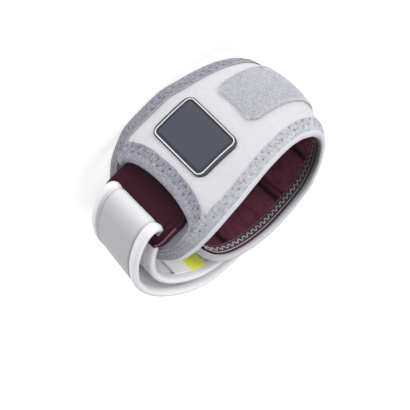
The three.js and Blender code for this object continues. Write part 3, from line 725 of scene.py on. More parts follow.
@dataclass(frozen=True)
class Finish:
    """A cloth, rubber or thread finish: its colours, gloss and surface."""

    name: str
    colour: tuple[int, int, int]
    # Colour that painted shade mixes in
    dark: tuple[int, int, int]
    roughness: float = 0.85
    sheen: float = 0.3
    relief: Relief = Relief.KNIT
    pitch: float = 0.6
    depth: float = 0.12
    mottle: float = 0.25
    mottle_size: float = 6.0
    specular: float = 0.35
    on_map: bool = True
    gloss_change: float = 0.08
    sheen_roughness: float = 0.45
    bump: float = 0.8

    def build(self, effects: SharedEffects) -> bpy.types.Material:
        """Makes the material.

        Args:
            effects: the shared node groups.

        Returns:
            The material.
        """
        material = bpy.data.materials.new(self.name)
        material.use_nodes = True
        material.node_tree.nodes.clear()
        graph = Graph(material.node_tree)
        place = graph.add("ShaderNodeTexCoord")
        solid = graph.scaled(place.outputs["Object"], 1 / METRES)
        chart = graph.add("ShaderNodeUVMap", {"uv_map": "cloth"})
        flat = graph.scaled(chart.outputs[0], 1 / MAP_SCALE)
        relief = graph.add("ShaderNodeGroup", {"node_tree": effects.groups[self.relief.value]},
                           Vector=flat if self.on_map else solid, Pitch=self.pitch)
        mottle = graph.add("ShaderNodeGroup", {"node_tree": effects.groups["mottle"]},
                           Vector=solid, Size=self.mottle_size)
        shade = graph.add("ShaderNodeAttribute", {"attribute_name": "shade"})
        lift = 1 + self.mottle * 0.6
        paler = tuple(min(1.0, c * lift) for c in linear(self.colour)[:3]) + (1.0,)
        deeper = tuple(c * (1 - self.mottle) for c in linear(self.colour)[:3]) + (1.0,)
        spread = graph.add("ShaderNodeMapRange", Value=mottle.outputs[0], From_Min=0.3,
                           From_Max=0.7)
        base = graph.add("ShaderNodeMix", {"data_type": "RGBA"}, _0=spread.outputs[0],
                         _6=deeper, _7=paler)
        # Painted shade in the hollows of the relief
        grooves = graph.add("ShaderNodeMapRange", Value=relief.outputs[0], From_Min=0.1,
                            From_Max=0.36, To_Min=0.6, To_Max=0.0)
        # Painted shade: the larger of the piece's shade mask and the hollows' shade
        painted_shade = graph.maths("MAXIMUM", shade.outputs["Fac"],
                           graph.maths("MULTIPLY", grooves.outputs[0], self.mottle * 3))
        tone = graph.add("ShaderNodeMix", {"data_type": "RGBA"}, _0=painted_shade, _6=base.outputs[2],
                         _7=linear(self.dark))
        gloss = graph.add("ShaderNodeMapRange", Value=mottle.outputs[0],
                          To_Min=max(self.roughness - self.gloss_change, 0.05),
                          To_Max=min(self.roughness + self.gloss_change, 1))
        bump = graph.add("ShaderNodeBump", Height=relief.outputs[0], Strength=self.bump,
                         Distance=self.depth * METRES)
        shader = graph.add("ShaderNodeBsdfPrincipled", Base_Color=tone.outputs[2],
                           Roughness=gloss.outputs[0], Normal=bump.outputs[0])
        shader.inputs["Sheen Weight"].default_value = self.sheen
        shader.inputs["Sheen Roughness"].default_value = self.sheen_roughness
        shader.inputs["Specular IOR Level"].default_value = self.specular
        output = graph.add("ShaderNodeOutputMaterial", Surface=shader.outputs[0])
        output.is_active_output = True
        return material


SHELL_CLOTH = Finish("shell_cloth", (212, 212, 216), (160, 160, 168), 0.7, 0.2, Relief.KNIT,
                     0.45, 0.05, 0.06, 3.5)
# Its dark colour is the charcoal of the painted shadow inside the upper rim
RIM_CLOTH = Finish("rim_cloth", (217, 218, 225), (48, 42, 48), 0.85, 0.3, Relief.KNIT,
                   0.5, 0.09, 0.05, 7.0)
BINDING_CLOTH = Finish("binding_cloth", (165, 165, 176), (52, 52, 62), 0.95, 0.25, Relief.BRUSHED,
                       0.55, 0.3, 0.36, 1.9, on_map=False)
PALE_BINDING = Finish("pale_binding", (204, 204, 213), (70, 70, 82), 0.95, 0.25, Relief.BRUSHED,
                      0.55, 0.3, 0.32, 1.9, on_map=False)
EDGE_CLOTH = Finish("edge_cloth", (216, 216, 223), (150, 150, 160), 0.85, 0.2, Relief.WOVEN,
                    0.4, 0.08, 0.05, 3.0)
SOFT_EDGE = Finish("soft_edge_cloth", (206, 206, 213), (150, 150, 160), 0.9, 0.2, Relief.WOVEN,
                   0.4, 0.08, 0.06, 3.0)
THREAD = Finish("stitch_thread", (172, 172, 183), (110, 110, 120), 0.7, 0.2, Relief.WOVEN,
                0.3, 0.05, 0.06, 2.0)
PALE_THREAD = Finish("pale_thread", (206, 206, 215), (120, 120, 130), 0.7, 0.2, Relief.WOVEN,
                     0.3, 0.05, 0.06, 2.0)
WHITE_THREAD = Finish("white_thread", (246, 236, 240), (92, 82, 88), 0.6, 0.2, Relief.WOVEN,
                      0.3, 0.05, 0.05, 2.0)
PLUM_THREAD = Finish("plum_thread", (164, 108, 128), (60, 34, 44), 0.7, 0.2, Relief.WOVEN,
                     0.3, 0.05, 0.06, 2.0)
PIPING_CLOTH = Finish("piping_cloth", (208, 184, 195), (52, 36, 44), 0.8, 0.2, Relief.WOVEN,
                      0.4, 0.06, 0.08, 3.0)
LINING_CLOTH = Finish("lining_cloth", (116, 60, 78), (24, 9, 15), 0.9, 0.06, Relief.KNIT,
                      0.7, 0.16, 0.3, 1.6, specular=0.15)
RING_CLOTH = Finish("ring_cloth", (66, 25, 41), (14, 6, 10), 0.85, 0.03, Relief.WOVEN,
                    0.9, 0.2, 0.5, 1.3, specular=0.16)
# Paler plum that paints the highlight along the ring's raised lip
RING_LIP_HIGHLIGHT = Finish("ring_lip_highlight_cloth", (124, 62, 86), (40, 16, 26), 0.6, 0.1, Relief.WOVEN,
                   0.5, 0.06, 0.08, 5.0, specular=0.5)
TAPE_CLOTH = Finish("tape_cloth", (98, 82, 92), (18, 13, 17), 0.9, 0.1, Relief.WOVEN,
                    0.5, 0.12, 0.16, 4.0, specular=0.2)
PANEL_CLOTH = Finish("panel_cloth", (188, 191, 201), (100, 106, 114), 0.9, 0.2, Relief.KNIT,
                     0.55, 0.12, 0.08, 4.0)
STRAP_CLOTH = Finish("strap_cloth", (235, 235, 238), (120, 120, 128), 0.55, 0.15, Relief.WOVEN,
                     0.35, 0.03, 0.02, 10.0, specular=0.45)
STRAP_PILE = Finish("strap_pile", (255, 255, 255), (196, 196, 212), 0.95, 0.8, Relief.PILE,
                    0.9, 0.5, 0.3, 1.3, on_map=False)
PATCH_PILE = Finish("patch_pile", (208, 208, 217), (104, 104, 116), 0.95, 0.25, Relief.PILE,
                    1.1, 0.7, 0.24, 1.5, on_map=False)
FIBRE = Finish("pile_fibre", (224, 224, 231), (150, 150, 160), 0.8, 0.3, Relief.WOVEN,
               0.5, 0.02, 0.05, 2.0)
HOOK_CLOTH = Finish("hook_cloth", (176, 177, 188), (90, 90, 100), 0.6, 0.1, Relief.WOVEN,
                    0.9, 0.3, 0.08, 3.0)
LIME_RIBBON = Finish("lime_ribbon", (250, 252, 96), (130, 138, 20), 0.6, 0.1, Relief.WOVEN,
                     0.3, 0.04, 0.04, 3.0)
WHITE_RIBBON = Finish("white_ribbon", (252, 252, 255), (170, 170, 180), 0.55, 0.2, Relief.WOVEN,
                      0.3, 0.04, 0.03, 3.0)
BADGE_RUBBER = Finish("badge_rubber", (58, 60, 73), (24, 25, 32), 0.55, 0.05, Relief.BRUSHED,
                      0.25, 0.03, 0.05, 6.0, specular=0.5, on_map=False)
FIELD_RUBBER = Finish("field_rubber", (63, 65, 79), (46, 47, 58), 0.6, 0.05, Relief.WOVEN,
                      0.55, 0.05, 0.05, 6.0, specular=0.5)
LINE_RUBBER = Finish("line_rubber", (242, 242, 243), (170, 170, 176), 0.5, 0.05, Relief.BRUSHED,
                     0.4, 0.02, 0.02, 4.0, specular=0.5, on_map=False)


class Finishes:
    """The materials, each built at its first use."""

    def __init__(self) -> None:
        """Builds the shared groups."""
        self.effects = SharedEffects()
        self.made: dict[str, bpy.types.Material] = {}

    def get(self, finish: Finish) -> bpy.types.Material:
        """Gives the material of a finish."""
        if finish.name not in self.made:
            self.made[finish.name] = finish.build(self.effects)
        return self.made[finish.name]


@dataclass
class ZigzagSeam:
    """A zigzag seam along a strip: two rows of needle holes and the legs between them."""

    pitch: float = 4.9
    upper: float = 4.2
    lower: float = 6.7
    hole: float = 0.58
    depth: float = 0.5
    thread: float = 0.18
    lift: float = 0.08
    wander: float = 0.16
    hole_width: float = 0.85
    valley: float = 0.35
    dive: float = 0.9

    def dents(self, u: Array, v: Array) -> tuple[Array, Array]:
        """Gives how deep the needle holes dent the strip, and the painted shade in them.

        Args:
            u: distances along the strip.
            v: distances across it.

        Returns:
            The depth and the painted shade at each place.
        """
        depth = np.zeros(u.shape)
        draw = np.random.default_rng(17)
        count = int(u.max() / self.pitch) + 3
        for offset, row in ((0.0, self.upper), (0.5, self.lower)):
            number = np.floor(u / self.pitch - offset + 0.5).astype(int) + 1
            wander = draw.normal(size=(3, count)) * self.wander
            along = u - (number - 1 + offset) * self.pitch - wander[0][number]
            distance = np.hypot(along, (v - row - wander[1][number]) * self.hole_width)
            depth = np.maximum(depth, hill(distance, self.hole) * (0.85 + wander[2][number]))
        valley = 0.25 * hill(v - (self.upper + self.lower) / 2, (self.lower - self.upper) * 0.7)
        # The holes and the valley between the rows get painted shade
        return self.depth * depth + self.valley * valley, 0.95 * depth + 0.12 * valley

    def legs(self, length: float, place: Callable[[Array, Array, Array], Array]) -> Tubes:
        """Lays the thread's legs over the strip.

        Args:
            length: the strip's length.
            place: gives points for distances along, across and above the strip.

        Returns:
            The tubes of the thread.
        """
        count = int(length / self.pitch * 2)
        share = np.linspace(0.1, 0.9, 8)
        start = np.arange(count)[:, None] * self.pitch / 2
        u = start + share * self.pitch / 2
        falling = np.arange(count)[:, None] % 2 == 0
        v = np.where(falling, self.upper + share * (self.lower - self.upper),
                     self.lower + share * (self.upper - self.lower))
        ends = (np.abs(share - 0.5) * 2) ** 6
        above = self.lift * (np.sin(np.pi * share) ** 0.6) - self.dive * ends
        return Tubes(place(u, v, np.broadcast_to(above, u.shape)), self.thread, 6)


def dashes(length: float, stitch: float, space: float, radius: float,
           place: Callable[[Array, Array], Array]) -> Tubes:
    """Lays a line of straight stitches.

    Args:
        length: length of the line.
        stitch: length of a stitch.
        space: space between stitches.
        radius: radius of the thread.
        place: gives points for distances along and above the cloth.

    Returns:
        The tubes of the thread.
    """
    count = int(length / (stitch + space))
    share = np.linspace(0, 1, 6)
    u = np.arange(count)[:, None] * (stitch + space) + share * stitch
    arc, ends = np.sin(np.pi * share) ** 0.5, (np.abs(share - 0.5) * 2) ** 6
    above = radius * 0.9 * arc - radius * 1.2 * ends
    return Tubes(place(u, np.broadcast_to(above, u.shape)), radius, 6)


@dataclass
class Lining:
    """Padded lining of the band, with creases between its pads."""

    band: Band
    finishes: Finishes
    swell: float = 1.5
    crease: float = 2.3
    columns: int = 420
    rows: int = 64
    tape: float = 6.8
    end_margin: float = 0.5
    edge_margin: float = 0.2
    hidden: float = 4.9

    def swell_at(self, turn: Array) -> tuple[Array, Array]:
        """Gives the swell of the pads and the painted shade of their creases by turn."""
        bounds = np.array((self.band.start, *CREASES, self.band.end))
        pad = np.clip(np.searchsorted(bounds, turn, side="right") - 1, 0, len(bounds) - 2)
        share = (turn - bounds[pad]) / (bounds[pad + 1] - bounds[pad])
        swell = np.clip(1 - np.abs(2 * share - 1) ** 5, 0, 1) ** 0.7
        near = np.minimum(turn - bounds[pad], bounds[pad + 1] - turn) * self.band.speed(turn)
        return swell, hill(near, self.crease)

    def build(self) -> None:
        """Makes the padded lining."""
        band = self.band
        inset = band.top_bead + self.end_margin
        first = band.start + inset / band.speed(band.start)
        last = band.end - inset / band.speed(band.end)
        turn = first + (last - first) * crowd(self.columns, 0.3)
        low, high = band.edges(turn, self.edge_margin)
        turns, share = grid(turn, crowd(self.rows, 0.5))
        height = low[:, None] + (high - low)[:, None] * share
        noise = SoftNoise(11)
        base = band.wall(turns, height, band.lining_in)
        slant = (height - band.middle) * 0.0001 + 0.0022 * noise.at(base, 8.0)
        swell, crease = self.swell_at(turns + slant)
        near = np.minimum(height - low[:, None], high[:, None] - height) - self.tape
        plump = swell * rounded(np.clip(near + 1.0, 0, 99), 9.0)
        ripple = 0.3 * noise.at(base, 7.0) + 0.1 * noise.at(base, 2.5)
        depth = self.swell * plump + ripple * (near > 0)
        # Painted shade: the creases, a second crease beside the eighth, thin wrinkle lines and the
        # lining's edge past the tape; cloud is random tone
        beside = (turns - CREASES[7]) * band.speed(turns) + 2.2 + 0.11 * (height - band.middle)
        cloud = 0.55 * np.clip(noise.at(base, 5.0) + 0.5 * noise.at(base, 1.3), 0, 1)
        wrinkle_shade = 0.5 * hill(noise.at(base * np.array((1.0, 1.0, 0.4)), 8.0), 0.07)
        margin = 0.9 * ramp_down(near, -self.hidden, 0.5)
        dark = np.maximum.reduce([0.95 * crease, 0.85 * hill(beside, 1.1), cloud, wrinkle_shade])
        dark = np.maximum(dark * (near > -2), margin)
        sheet = Sheet(
            band.wall(turns, height, band.lining_out + 0 * turns),
            band.wall(turns, height, band.lining_in - depth),
            run_rows(base), height, dark,
        )
        piece = sheet_piece("lining_pads", sheet, self.finishes.get(LINING_CLOTH), "plum_padding",
                            "lining")


@dataclass
class Shell:
    """Smooth outer cloth of the band and the panel on its tongue."""

    band: Band
    arch: Arch
    finishes: Finishes
    columns: int = 380
    rows: int = 56
    end_margin: float = 0.95
    panel_columns: int = 110
    panel_inset: float = 3.0
    panel_margin: float = 0.6
    panel_thickness: float = 0.6
    panel_gap: float = 0.1
    panel_lift: float = 0.2

    def arch_edge(self, level: Array) -> Array:
        """Gives the turns of the arch's edge at shares of its height."""
        low, high = self.band.edges(self.arch.turn, self.band.lining_gap)
        return self.arch.turn_at(low + (high - low) * level)

    def build(self) -> tuple[bpy.types.Object, Sheet]:
        """Makes the shell and the tongue's panel.

        Returns:
            The shell and the sheet that it is made from.
        """
        band = self.band
        level = np.linspace(0, 1, self.rows + 1)
        first = self.arch_edge(level)
        last = band.end - (band.top_bead + self.end_margin) / band.speed(band.end)
        turns = first[None, :] + (last - first[None, :]) * crowd(self.columns)[:, None]
        low, high = band.edges(turns, band.lining_gap)
        height = low + (high - low) * level
        base = band.shell(turns, height, 0 * turns)
        noise = SoftNoise(5)
        inner = np.sin(np.pi * level)[None, :] ** 0.5
        wave = (0.22 * noise.at(base, 17.0) + 0.07 * noise.at(base, 6.0)) * inner
        sheet = Sheet(
            band.shell(turns, height, wave),
            band.shell(turns, height, -band.shell_thickness + wave),
            run_rows(base), height,
        )
        piece = sheet_piece("band_shell", sheet, self.finishes.get(SHELL_CLOTH), "white_fabric",
                            "shell")
        self._panel(level)
        return piece, sheet

    def _panel(self, level: Array) -> None:
        """Makes the panel on the tongue's outer face."""
        band = self.band
        edge = self.arch_edge(level)
        first = edge + self.panel_inset / band.speed(edge)
        last = band.start + (band.top_bead + self.panel_margin) / band.speed(band.start)
        share = crowd(self.panel_columns, 0.4)
        turns = first[None, :] + (last - first[None, :]) * share[:, None]
        low, high = band.edges(turns, band.gap)
        height = low + (high - low) * level
        out = band.lining_out + self.panel_gap
        base = band.wall(turns, height, out + 0 * turns)
        wave = 0.1 * SoftNoise(6).at(base, 5.0)
        sheet = Sheet(
            band.wall(turns, height, out + self.panel_lift + self.panel_thickness + wave), base,
            run_rows(base), height,
        )
        piece = sheet_piece("tongue_face", sheet, self.finishes.get(PANEL_CLOTH), "teal_panel",
                            "tongue_panel")
        declare_cloth(piece, sheet)


@dataclass
class Rim:
    """Rounded bead along one rim of the band, round both of its ends."""

    band: Band
    finishes: Finishes
    side: Side
    name: str
    node: str
    slot: str
    finish: Finish
    depth: float = 4.6
    spacing: float = 0.8
    sides: int = 20
    pucker: float = 0.1
    pucker_pitch: float = 2.45
    square: float = 0.8
    # Turns between which the upper rim's inside gets painted shadow
    dim_start: float = 0.47
    dim_end: float = 0.76
    samples: int = 899

    def line(self) -> tuple[Array, Array]:
        """Gives the even line of the bead's centre and its turns."""
        band = self.band
        inset = band.bead(self.side) / 2
        first = band.start + inset / band.speed(band.start)
        last = band.end - inset / band.speed(band.end)
        away = 0.05 if self.side is Side.TOP else -0.05
        turn = first + (last - first) * crowd(self.samples)
        height = band.edge_height(turn, self.side, inset)
        turn = np.concatenate([[first], turn, [last]])
        height = np.concatenate([[band.middle + away], height, [band.middle + away]])
        points = band.wall(turn, height, band.lining_in / 2)
        length = run_length(points)
        even = even_steps(length, self.spacing)
        line = np.stack([np.interp(even, length, points[:, k]) for k in range(3)], axis=1)
        for _ in range(6):
            line[1:-1] = (line[:-2] + 2 * line[1:-1] + line[2:]) / 4
        return line, np.interp(even, length, turn)

    def build(self) -> None:
        """Makes the bead."""
        band = self.band
        line, turn = self.line()
        along = np.gradient(line, axis=0)
        along /= np.linalg.norm(along, axis=1, keepdims=True)
        x = (line[:, 0] + band.origin_x) / band.oval_length ** 2
        y = (line[:, 1] + band.origin_y - band.oval_depth / 2) / band.oval_depth ** 2
        out = np.stack([x, y, 0 * x], axis=1)
        out /= np.linalg.norm(out, axis=1, keepdims=True)
        across = np.cross(along, out)
        across /= np.linalg.norm(across, axis=1, keepdims=True)
        angle = np.linspace(0, 2 * np.pi, self.sides, endpoint=False)
        cosine, sine = np.cos(angle), np.sin(angle)
        wide = np.sign(cosine) * np.abs(cosine) ** self.square * self.depth / 2
        tall = np.sign(sine) * np.abs(sine) ** self.square * band.bead(self.side) / 2
        length = run_length(line)
        pinch = 1 + self.pucker * (np.cos(2 * np.pi * length / self.pucker_pitch) - 1) * 0.5
        points = (line[:, None] + out[:, None] * (wide * pinch[:, None])[..., None]
                  + across[:, None] * tall[None, :, None])
        away = points - line[:, None]
        away /= np.linalg.norm(away, axis=2, keepdims=True)
        points = points - away * (0.1 + 0.1 * SoftNoise(71).at(points, 4.0))[..., None]
        count = len(line)
        number = np.arange(count * self.sides).reshape(count, self.sides)
        turned = np.roll(number, -1, axis=1)
        quads = np.stack([number[:-1], turned[:-1], turned[1:], number[1:]], -1)
        faces = quads.reshape(-1, 4).tolist()
        faces += [number[0, ::-1].tolist(), number[-1].tolist()]
        around = np.arange(self.sides) / self.sides * 2 * (self.depth + band.bead(self.side)) * 0.8
        u, v = grid(length, around)
        # Painted shadow on the inward side of the upper rim, over the far wall's turns
        inward = np.clip(0.15 - 1.1 * cosine, 0, 1)
        dim = ramp_up(turn, self.dim_start, 0.05) * ramp_down(turn, self.dim_end, 0.16)
        shade = 0.9 * dim[:, None] * inward * (self.side is Side.TOP)
        piece = make_piece(self.name, points.reshape(-1, 3), faces, map_rows(u, v),
                           self.finishes.get(self.finish), shade.ravel())
        dress(piece, self.slot, self.node)


@dataclass
class RimBinding:
    """Stitched binding below one rim, from over the bead to its light folded edge."""

    band: Band
    finishes: Finishes
    side: Side
    name: str
    node: str
    width: float
    profile: Array
    seam: ZigzagSeam
    cloth: Finish = BINDING_CLOTH
    thread: Finish = THREAD
    fold_cloth: Finish = EDGE_CLOTH
    start: float = 0.045
    end: float = 0.856
    top: float = 1.1
    spacing: float = 0.42
    rows: int = 20
    thickness: float = 0.55
    edge: float = 0.27
    fold_lift: float = 0.08
    fold_wobble: float = 0.28
    # Turns below which the strip and its threads get painted shade, towards the tongue
    front_shade_end: float = 0.3
    thread_shade_end: float = 0.16

    def height(self, turn: Array, drop: Array) -> Array:
        """Gives the height of a place at a drop below the rim."""
        inset = self.band.bead(self.side) + self.band.gap
        away = -1 if self.side is Side.TOP else 1
        first = self.band.edge_height(turn, self.side, inset)
        rim = self.band.edge_height(turn, self.side, self.top)
        share = ramp_up(drop, self.top, inset - self.top)
        over = rim + (first - rim) * share
        return np.where(drop < inset, over, first + away * (drop - inset))

    def build(self) -> list[bpy.types.Object]:
        """Makes the strip, its folded edge and its stitches, and gives them."""
        band = self.band
        turn = np.linspace(self.start, self.end, SAMPLES)
        mid = self.height(turn, (self.seam.upper + self.seam.lower) / 2)
        length = run_length(band.shell(turn, mid, 0.5 + 0 * turn))
        even = even_steps(length, self.spacing)
        turn = np.interp(even, length, turn)
        last = band.bead(self.side) + band.gap + self.width
        drop = self.top + (last - self.top) * crowd(self.rows, 0.25)
        turns, drops = grid(turn, drop)
        height = self.height(turns, drops)
        u = np.broadcast_to(even[:, None], turns.shape)
        dent, shade = self.seam.dents(u, drops)
        # Painted shade on the strip, growing towards the tongue
        shade = np.maximum(shade, 0.5 * ramp_down(turns, self.front_shade_end, 0.2))
        out = smooth_column(self.profile, 1, drops)
        base = band.shell(turns, height, out)
        fluff = 0.13 * SoftNoise(21).at(base, 1.3) + 0.1 * SoftNoise(22).at(base, 5.0)
        sheet = Sheet(band.shell(turns, height, out - dent + fluff),
                      band.shell(turns, height, out - self.thickness), u, drops, shade)
        finish = self.finishes.get(self.cloth)
        strip = sheet_piece(self.name, sheet, finish, "grey_binding", self.node)

        def on_strip(along: Array, across: Array, above: Array) -> Array:
            """Places points over the strip."""
            at = np.interp(along, even, turn)
            level = self.height(at, across)
            return band.shell(at, level, smooth_column(self.profile, 1, across) + above)

        legs = self.seam.legs(length[-1], on_strip)
        at = np.interp(np.arange(len(legs.paths)) * self.seam.pitch / 2, even, turn)
        # Painted shade on the thread near the tongue
        legs.shade = 0.35 * ramp_down(at, self.thread_shade_end, 0.05)[:, None]
        threads = tube_piece(f"{self.name}_stitches", legs, self.finishes.get(self.thread),
                             "grey_binding")
        line = on_strip(even, np.full(even.shape, last), np.full(even.shape, self.fold_lift))
        line[:, 2] += self.fold_wobble * SoftNoise(23).at(line, 2.6)
        fold = folded_edge(self.name, line, self.edge, self.finishes.get(self.fold_cloth))
        return [strip, threads, fold]


@dataclass
class ArchBinding:
    """Binding round the arch: a roll at the cut edge, a stitched band and a light fold."""

    band: Band
    arch: Arch
    finishes: Finishes
    width: float = 9.4
    top_width: float = 4.4
    bottom_width: float = 5.3
    reach: float = 0.5
    thickness: float = 1.3
    profile: Array = field(default_factory=lambda: np.array([
        (-0.5, -0.5), (-0.1, 1.0), (0.9, 1.75), (2.2, 1.85), (3.4, 1.45), (4.2, 1.05),
        (5.2, 1.05), (7.6, 1.1), (8.6, 1.15), (9.4, 0.85),
    ]))
    seam: ZigzagSeam = field(default_factory=lambda: ZigzagSeam(4.6, 4.7, 7.1))
    flare: float = 1.9
    flare_place: float = 0.056
    flare_reach: float = 0.032
    fold_start: float = 3.0
    edge: float = 0.3
    fold_lift: float = 0.1
    fold_wobble: float = 0.25
    overlap: float = 0.4
    samples: int = 600
    rows: int = 34
    spacing: float = 0.42

    def place(self, share: Array, across: Array, out: Array) -> Array:
        """Places points by share along the arch, distance across and distance out."""
        band = self.band

        def low(turn: Array) -> Array:
            """Gives the lower end of the binding."""
            edge = band.edge_height(turn, Side.BOTTOM, band.bottom_bead + band.gap)
            return edge + self.bottom_width - self.overlap

        def high(turn: Array) -> Array:
            """Gives the upper end of the binding."""
            edge = band.edge_height(turn, Side.TOP, band.top_bead + band.gap)
            return edge - self.top_width + self.overlap

        arch = self.arch.turn
        edge = self.arch.turn_at(low(arch) + (high(arch) - low(arch)) * share)
        flare = self.flare * hill(share - self.flare_place, self.flare_reach)
        turn = edge + across * (1 + flare / self.width) / band.speed(edge)
        height = low(turn) + (high(turn) - low(turn)) * share
        return band.shell(turn, height, out)

    def build(self) -> list[bpy.types.Object]:
        """Makes the binding, its fold and its stitches, and gives them."""
        share = np.linspace(0, 1, self.samples)
        middle = np.full(self.samples, (self.seam.upper + self.seam.lower) / 2)
        length = run_length(self.place(share, middle, np.ones(self.samples)))
        even = even_steps(length, self.spacing)
        share = np.interp(even, length, share)
        across = -self.reach + (self.width + self.reach) * np.linspace(0, 1, self.rows + 1)
        shares, wide = grid(share, across)
        u = np.broadcast_to(even[:, None], shares.shape)
        dent, shade = self.seam.dents(u, wide)
        out = smooth_column(self.profile, 1, wide)
        base = self.place(shares, wide, out)
        fluff = 0.13 * SoftNoise(31).at(base, 1.3) + 0.12 * SoftNoise(32).at(base, 5.0)
        inner = out - self.thickness
        back = np.where(wide < 0.2, inner, np.maximum(inner, -0.1))
        sheet = Sheet(self.place(shares, wide, out - dent + fluff), self.place(shares, wide, back),
                      u, wide, shade)
        strip = sheet_piece("arch_edge", sheet, self.finishes.get(BINDING_CLOTH), "grey_binding",
                            "arch_binding")

        def on_strip(along: Array, side: Array, above: Array) -> Array:
            """Places points over the binding."""
            at = np.interp(along, even, share)
            return self.place(at, side, smooth_column(self.profile, 1, side) + above)

        threads = tube_piece("arch_edge_stitches", self.seam.legs(length[-1], on_strip),
                             self.finishes.get(THREAD), "grey_binding")
        run = even[even > self.fold_start]
        line = on_strip(run, np.full(run.shape, self.width), np.full(run.shape, self.fold_lift))
        line[:, 0] += self.fold_wobble * SoftNoise(33).at(line, 3.0)
        fold = folded_edge("arch_edge", line, self.edge, self.finishes.get(EDGE_CLOTH))
        return [strip, threads, fold]


@dataclass
class InnerTape:
    """Seam tape inside one rim, with its piping, zigzag and line of stitches."""

    band: Band
    finishes: Finishes
    side: Side
    name: str
    node: str
    width: float = 6.5
    start: float = 0.05
    end: float = 0.85
    face: float = 0.9
    thickness: float = 0.7
    spacing: float = 0.6
    seam: ZigzagSeam = field(
        default_factory=lambda: ZigzagSeam(2.9, 1.3, 4.6, thread=0.23, lift=0.25))
    groove: float = 0.95
    # Turn past which the painted shade inside the band fades out
    dim_end: float = 0.81
    overlap: float = 0.5
    columns: int = 18
    piping_drop: float = 0.3
    piping_lift: float = 0.1
    piping_radius: float = 0.3
    stitch: float = 1.7
    space: float = 0.8
    thread: float = 0.14
    stitch_inset: float = 0.7

    def height(self, turn: Array, drop: Array) -> Array:
        """Gives the height of a place at a drop below the bead."""
        inset = self.band.bead(self.side) + self.band.gap
        away = -1 if self.side is Side.TOP else 1
        return self.band.edge_height(turn, self.side, inset) + away * drop

    def build(self) -> list[bpy.types.Object]:
        """Makes the tape and what is sewn on it, and gives the pieces."""
        band = self.band
        turn = np.linspace(self.start, self.end, SAMPLES)
        inner = band.lining_in - self.face
        length = run_length(band.wall(turn, self.height(turn, 3.0), inner))
        even = even_steps(length, self.spacing)
        turn = np.interp(even, length, turn)

        def inside(along: Array, drop: Array, above: Array) -> Array:
            """Places points over the tape's inner face."""
            at = np.interp(along, even, turn)
            return band.wall(at, self.height(at, drop), inner - above)

        drop = np.linspace(-self.overlap, self.width, self.columns + 1)
        u, drops = grid(even, drop)
        ridge = 0.2 * hill(drops - 2.8, 1.6) - 0.25 * hill(drops - self.groove, 0.3)
        edge = rounded(self.width - drops, 0.6) * self.thickness
        # Painted shade in the groove and at the lower edge, and over the turns up to dim_end, where
        # the inside is in shade
        shade = 0.7 * hill(drops - self.groove, 0.4) + 0.5 * hill(drops - self.width, 0.5)
        dim = 0.9 * ramp_down(turn, self.dim_end, 0.2)
        shade = np.maximum(shade, 0.85 * dim[:, None])
        sheet = Sheet(inside(u, drops, ridge + edge - self.thickness),
                      inside(u, drops, -self.thickness + 0 * u), u, drops, shade)
        tape = sheet_piece(self.name, sheet, self.finishes.get(TAPE_CLOTH), "dark_tape", self.node)
        legs = self.seam.legs(length[-1], inside)
        starts = np.arange(len(legs.paths)) * self.seam.pitch / 2
        # The zigzag and the piping get the same painted shade
        legs.shade = np.interp(starts, even, dim)[:, None]
        zigzag = tube_piece(f"{self.name}_zigzag", legs, self.finishes.get(WHITE_THREAD),
                            "dark_tape")
        line = inside(even, np.full(even.shape, self.piping_drop),
                      np.full(even.shape, self.piping_lift))
        piping = tube_piece(f"{self.name}_piping",
                            Tubes(line[None], self.piping_radius, 8, shade=dim[None]),
                            self.finishes.get(PIPING_CLOTH), "dark_tape")

        def below(along: Array, above: Array) -> Array:
            """Places points near the tape's lower edge."""
            return inside(along, np.full(along.shape, self.width - self.stitch_inset), above)

        row = dashes(length[-1], self.stitch, self.space, self.thread, below)
        stitches = tube_piece(f"{self.name}_stitches", row, self.finishes.get(PLUM_THREAD),
                              "dark_tape")
        return [tape, zigzag, piping, stitches]


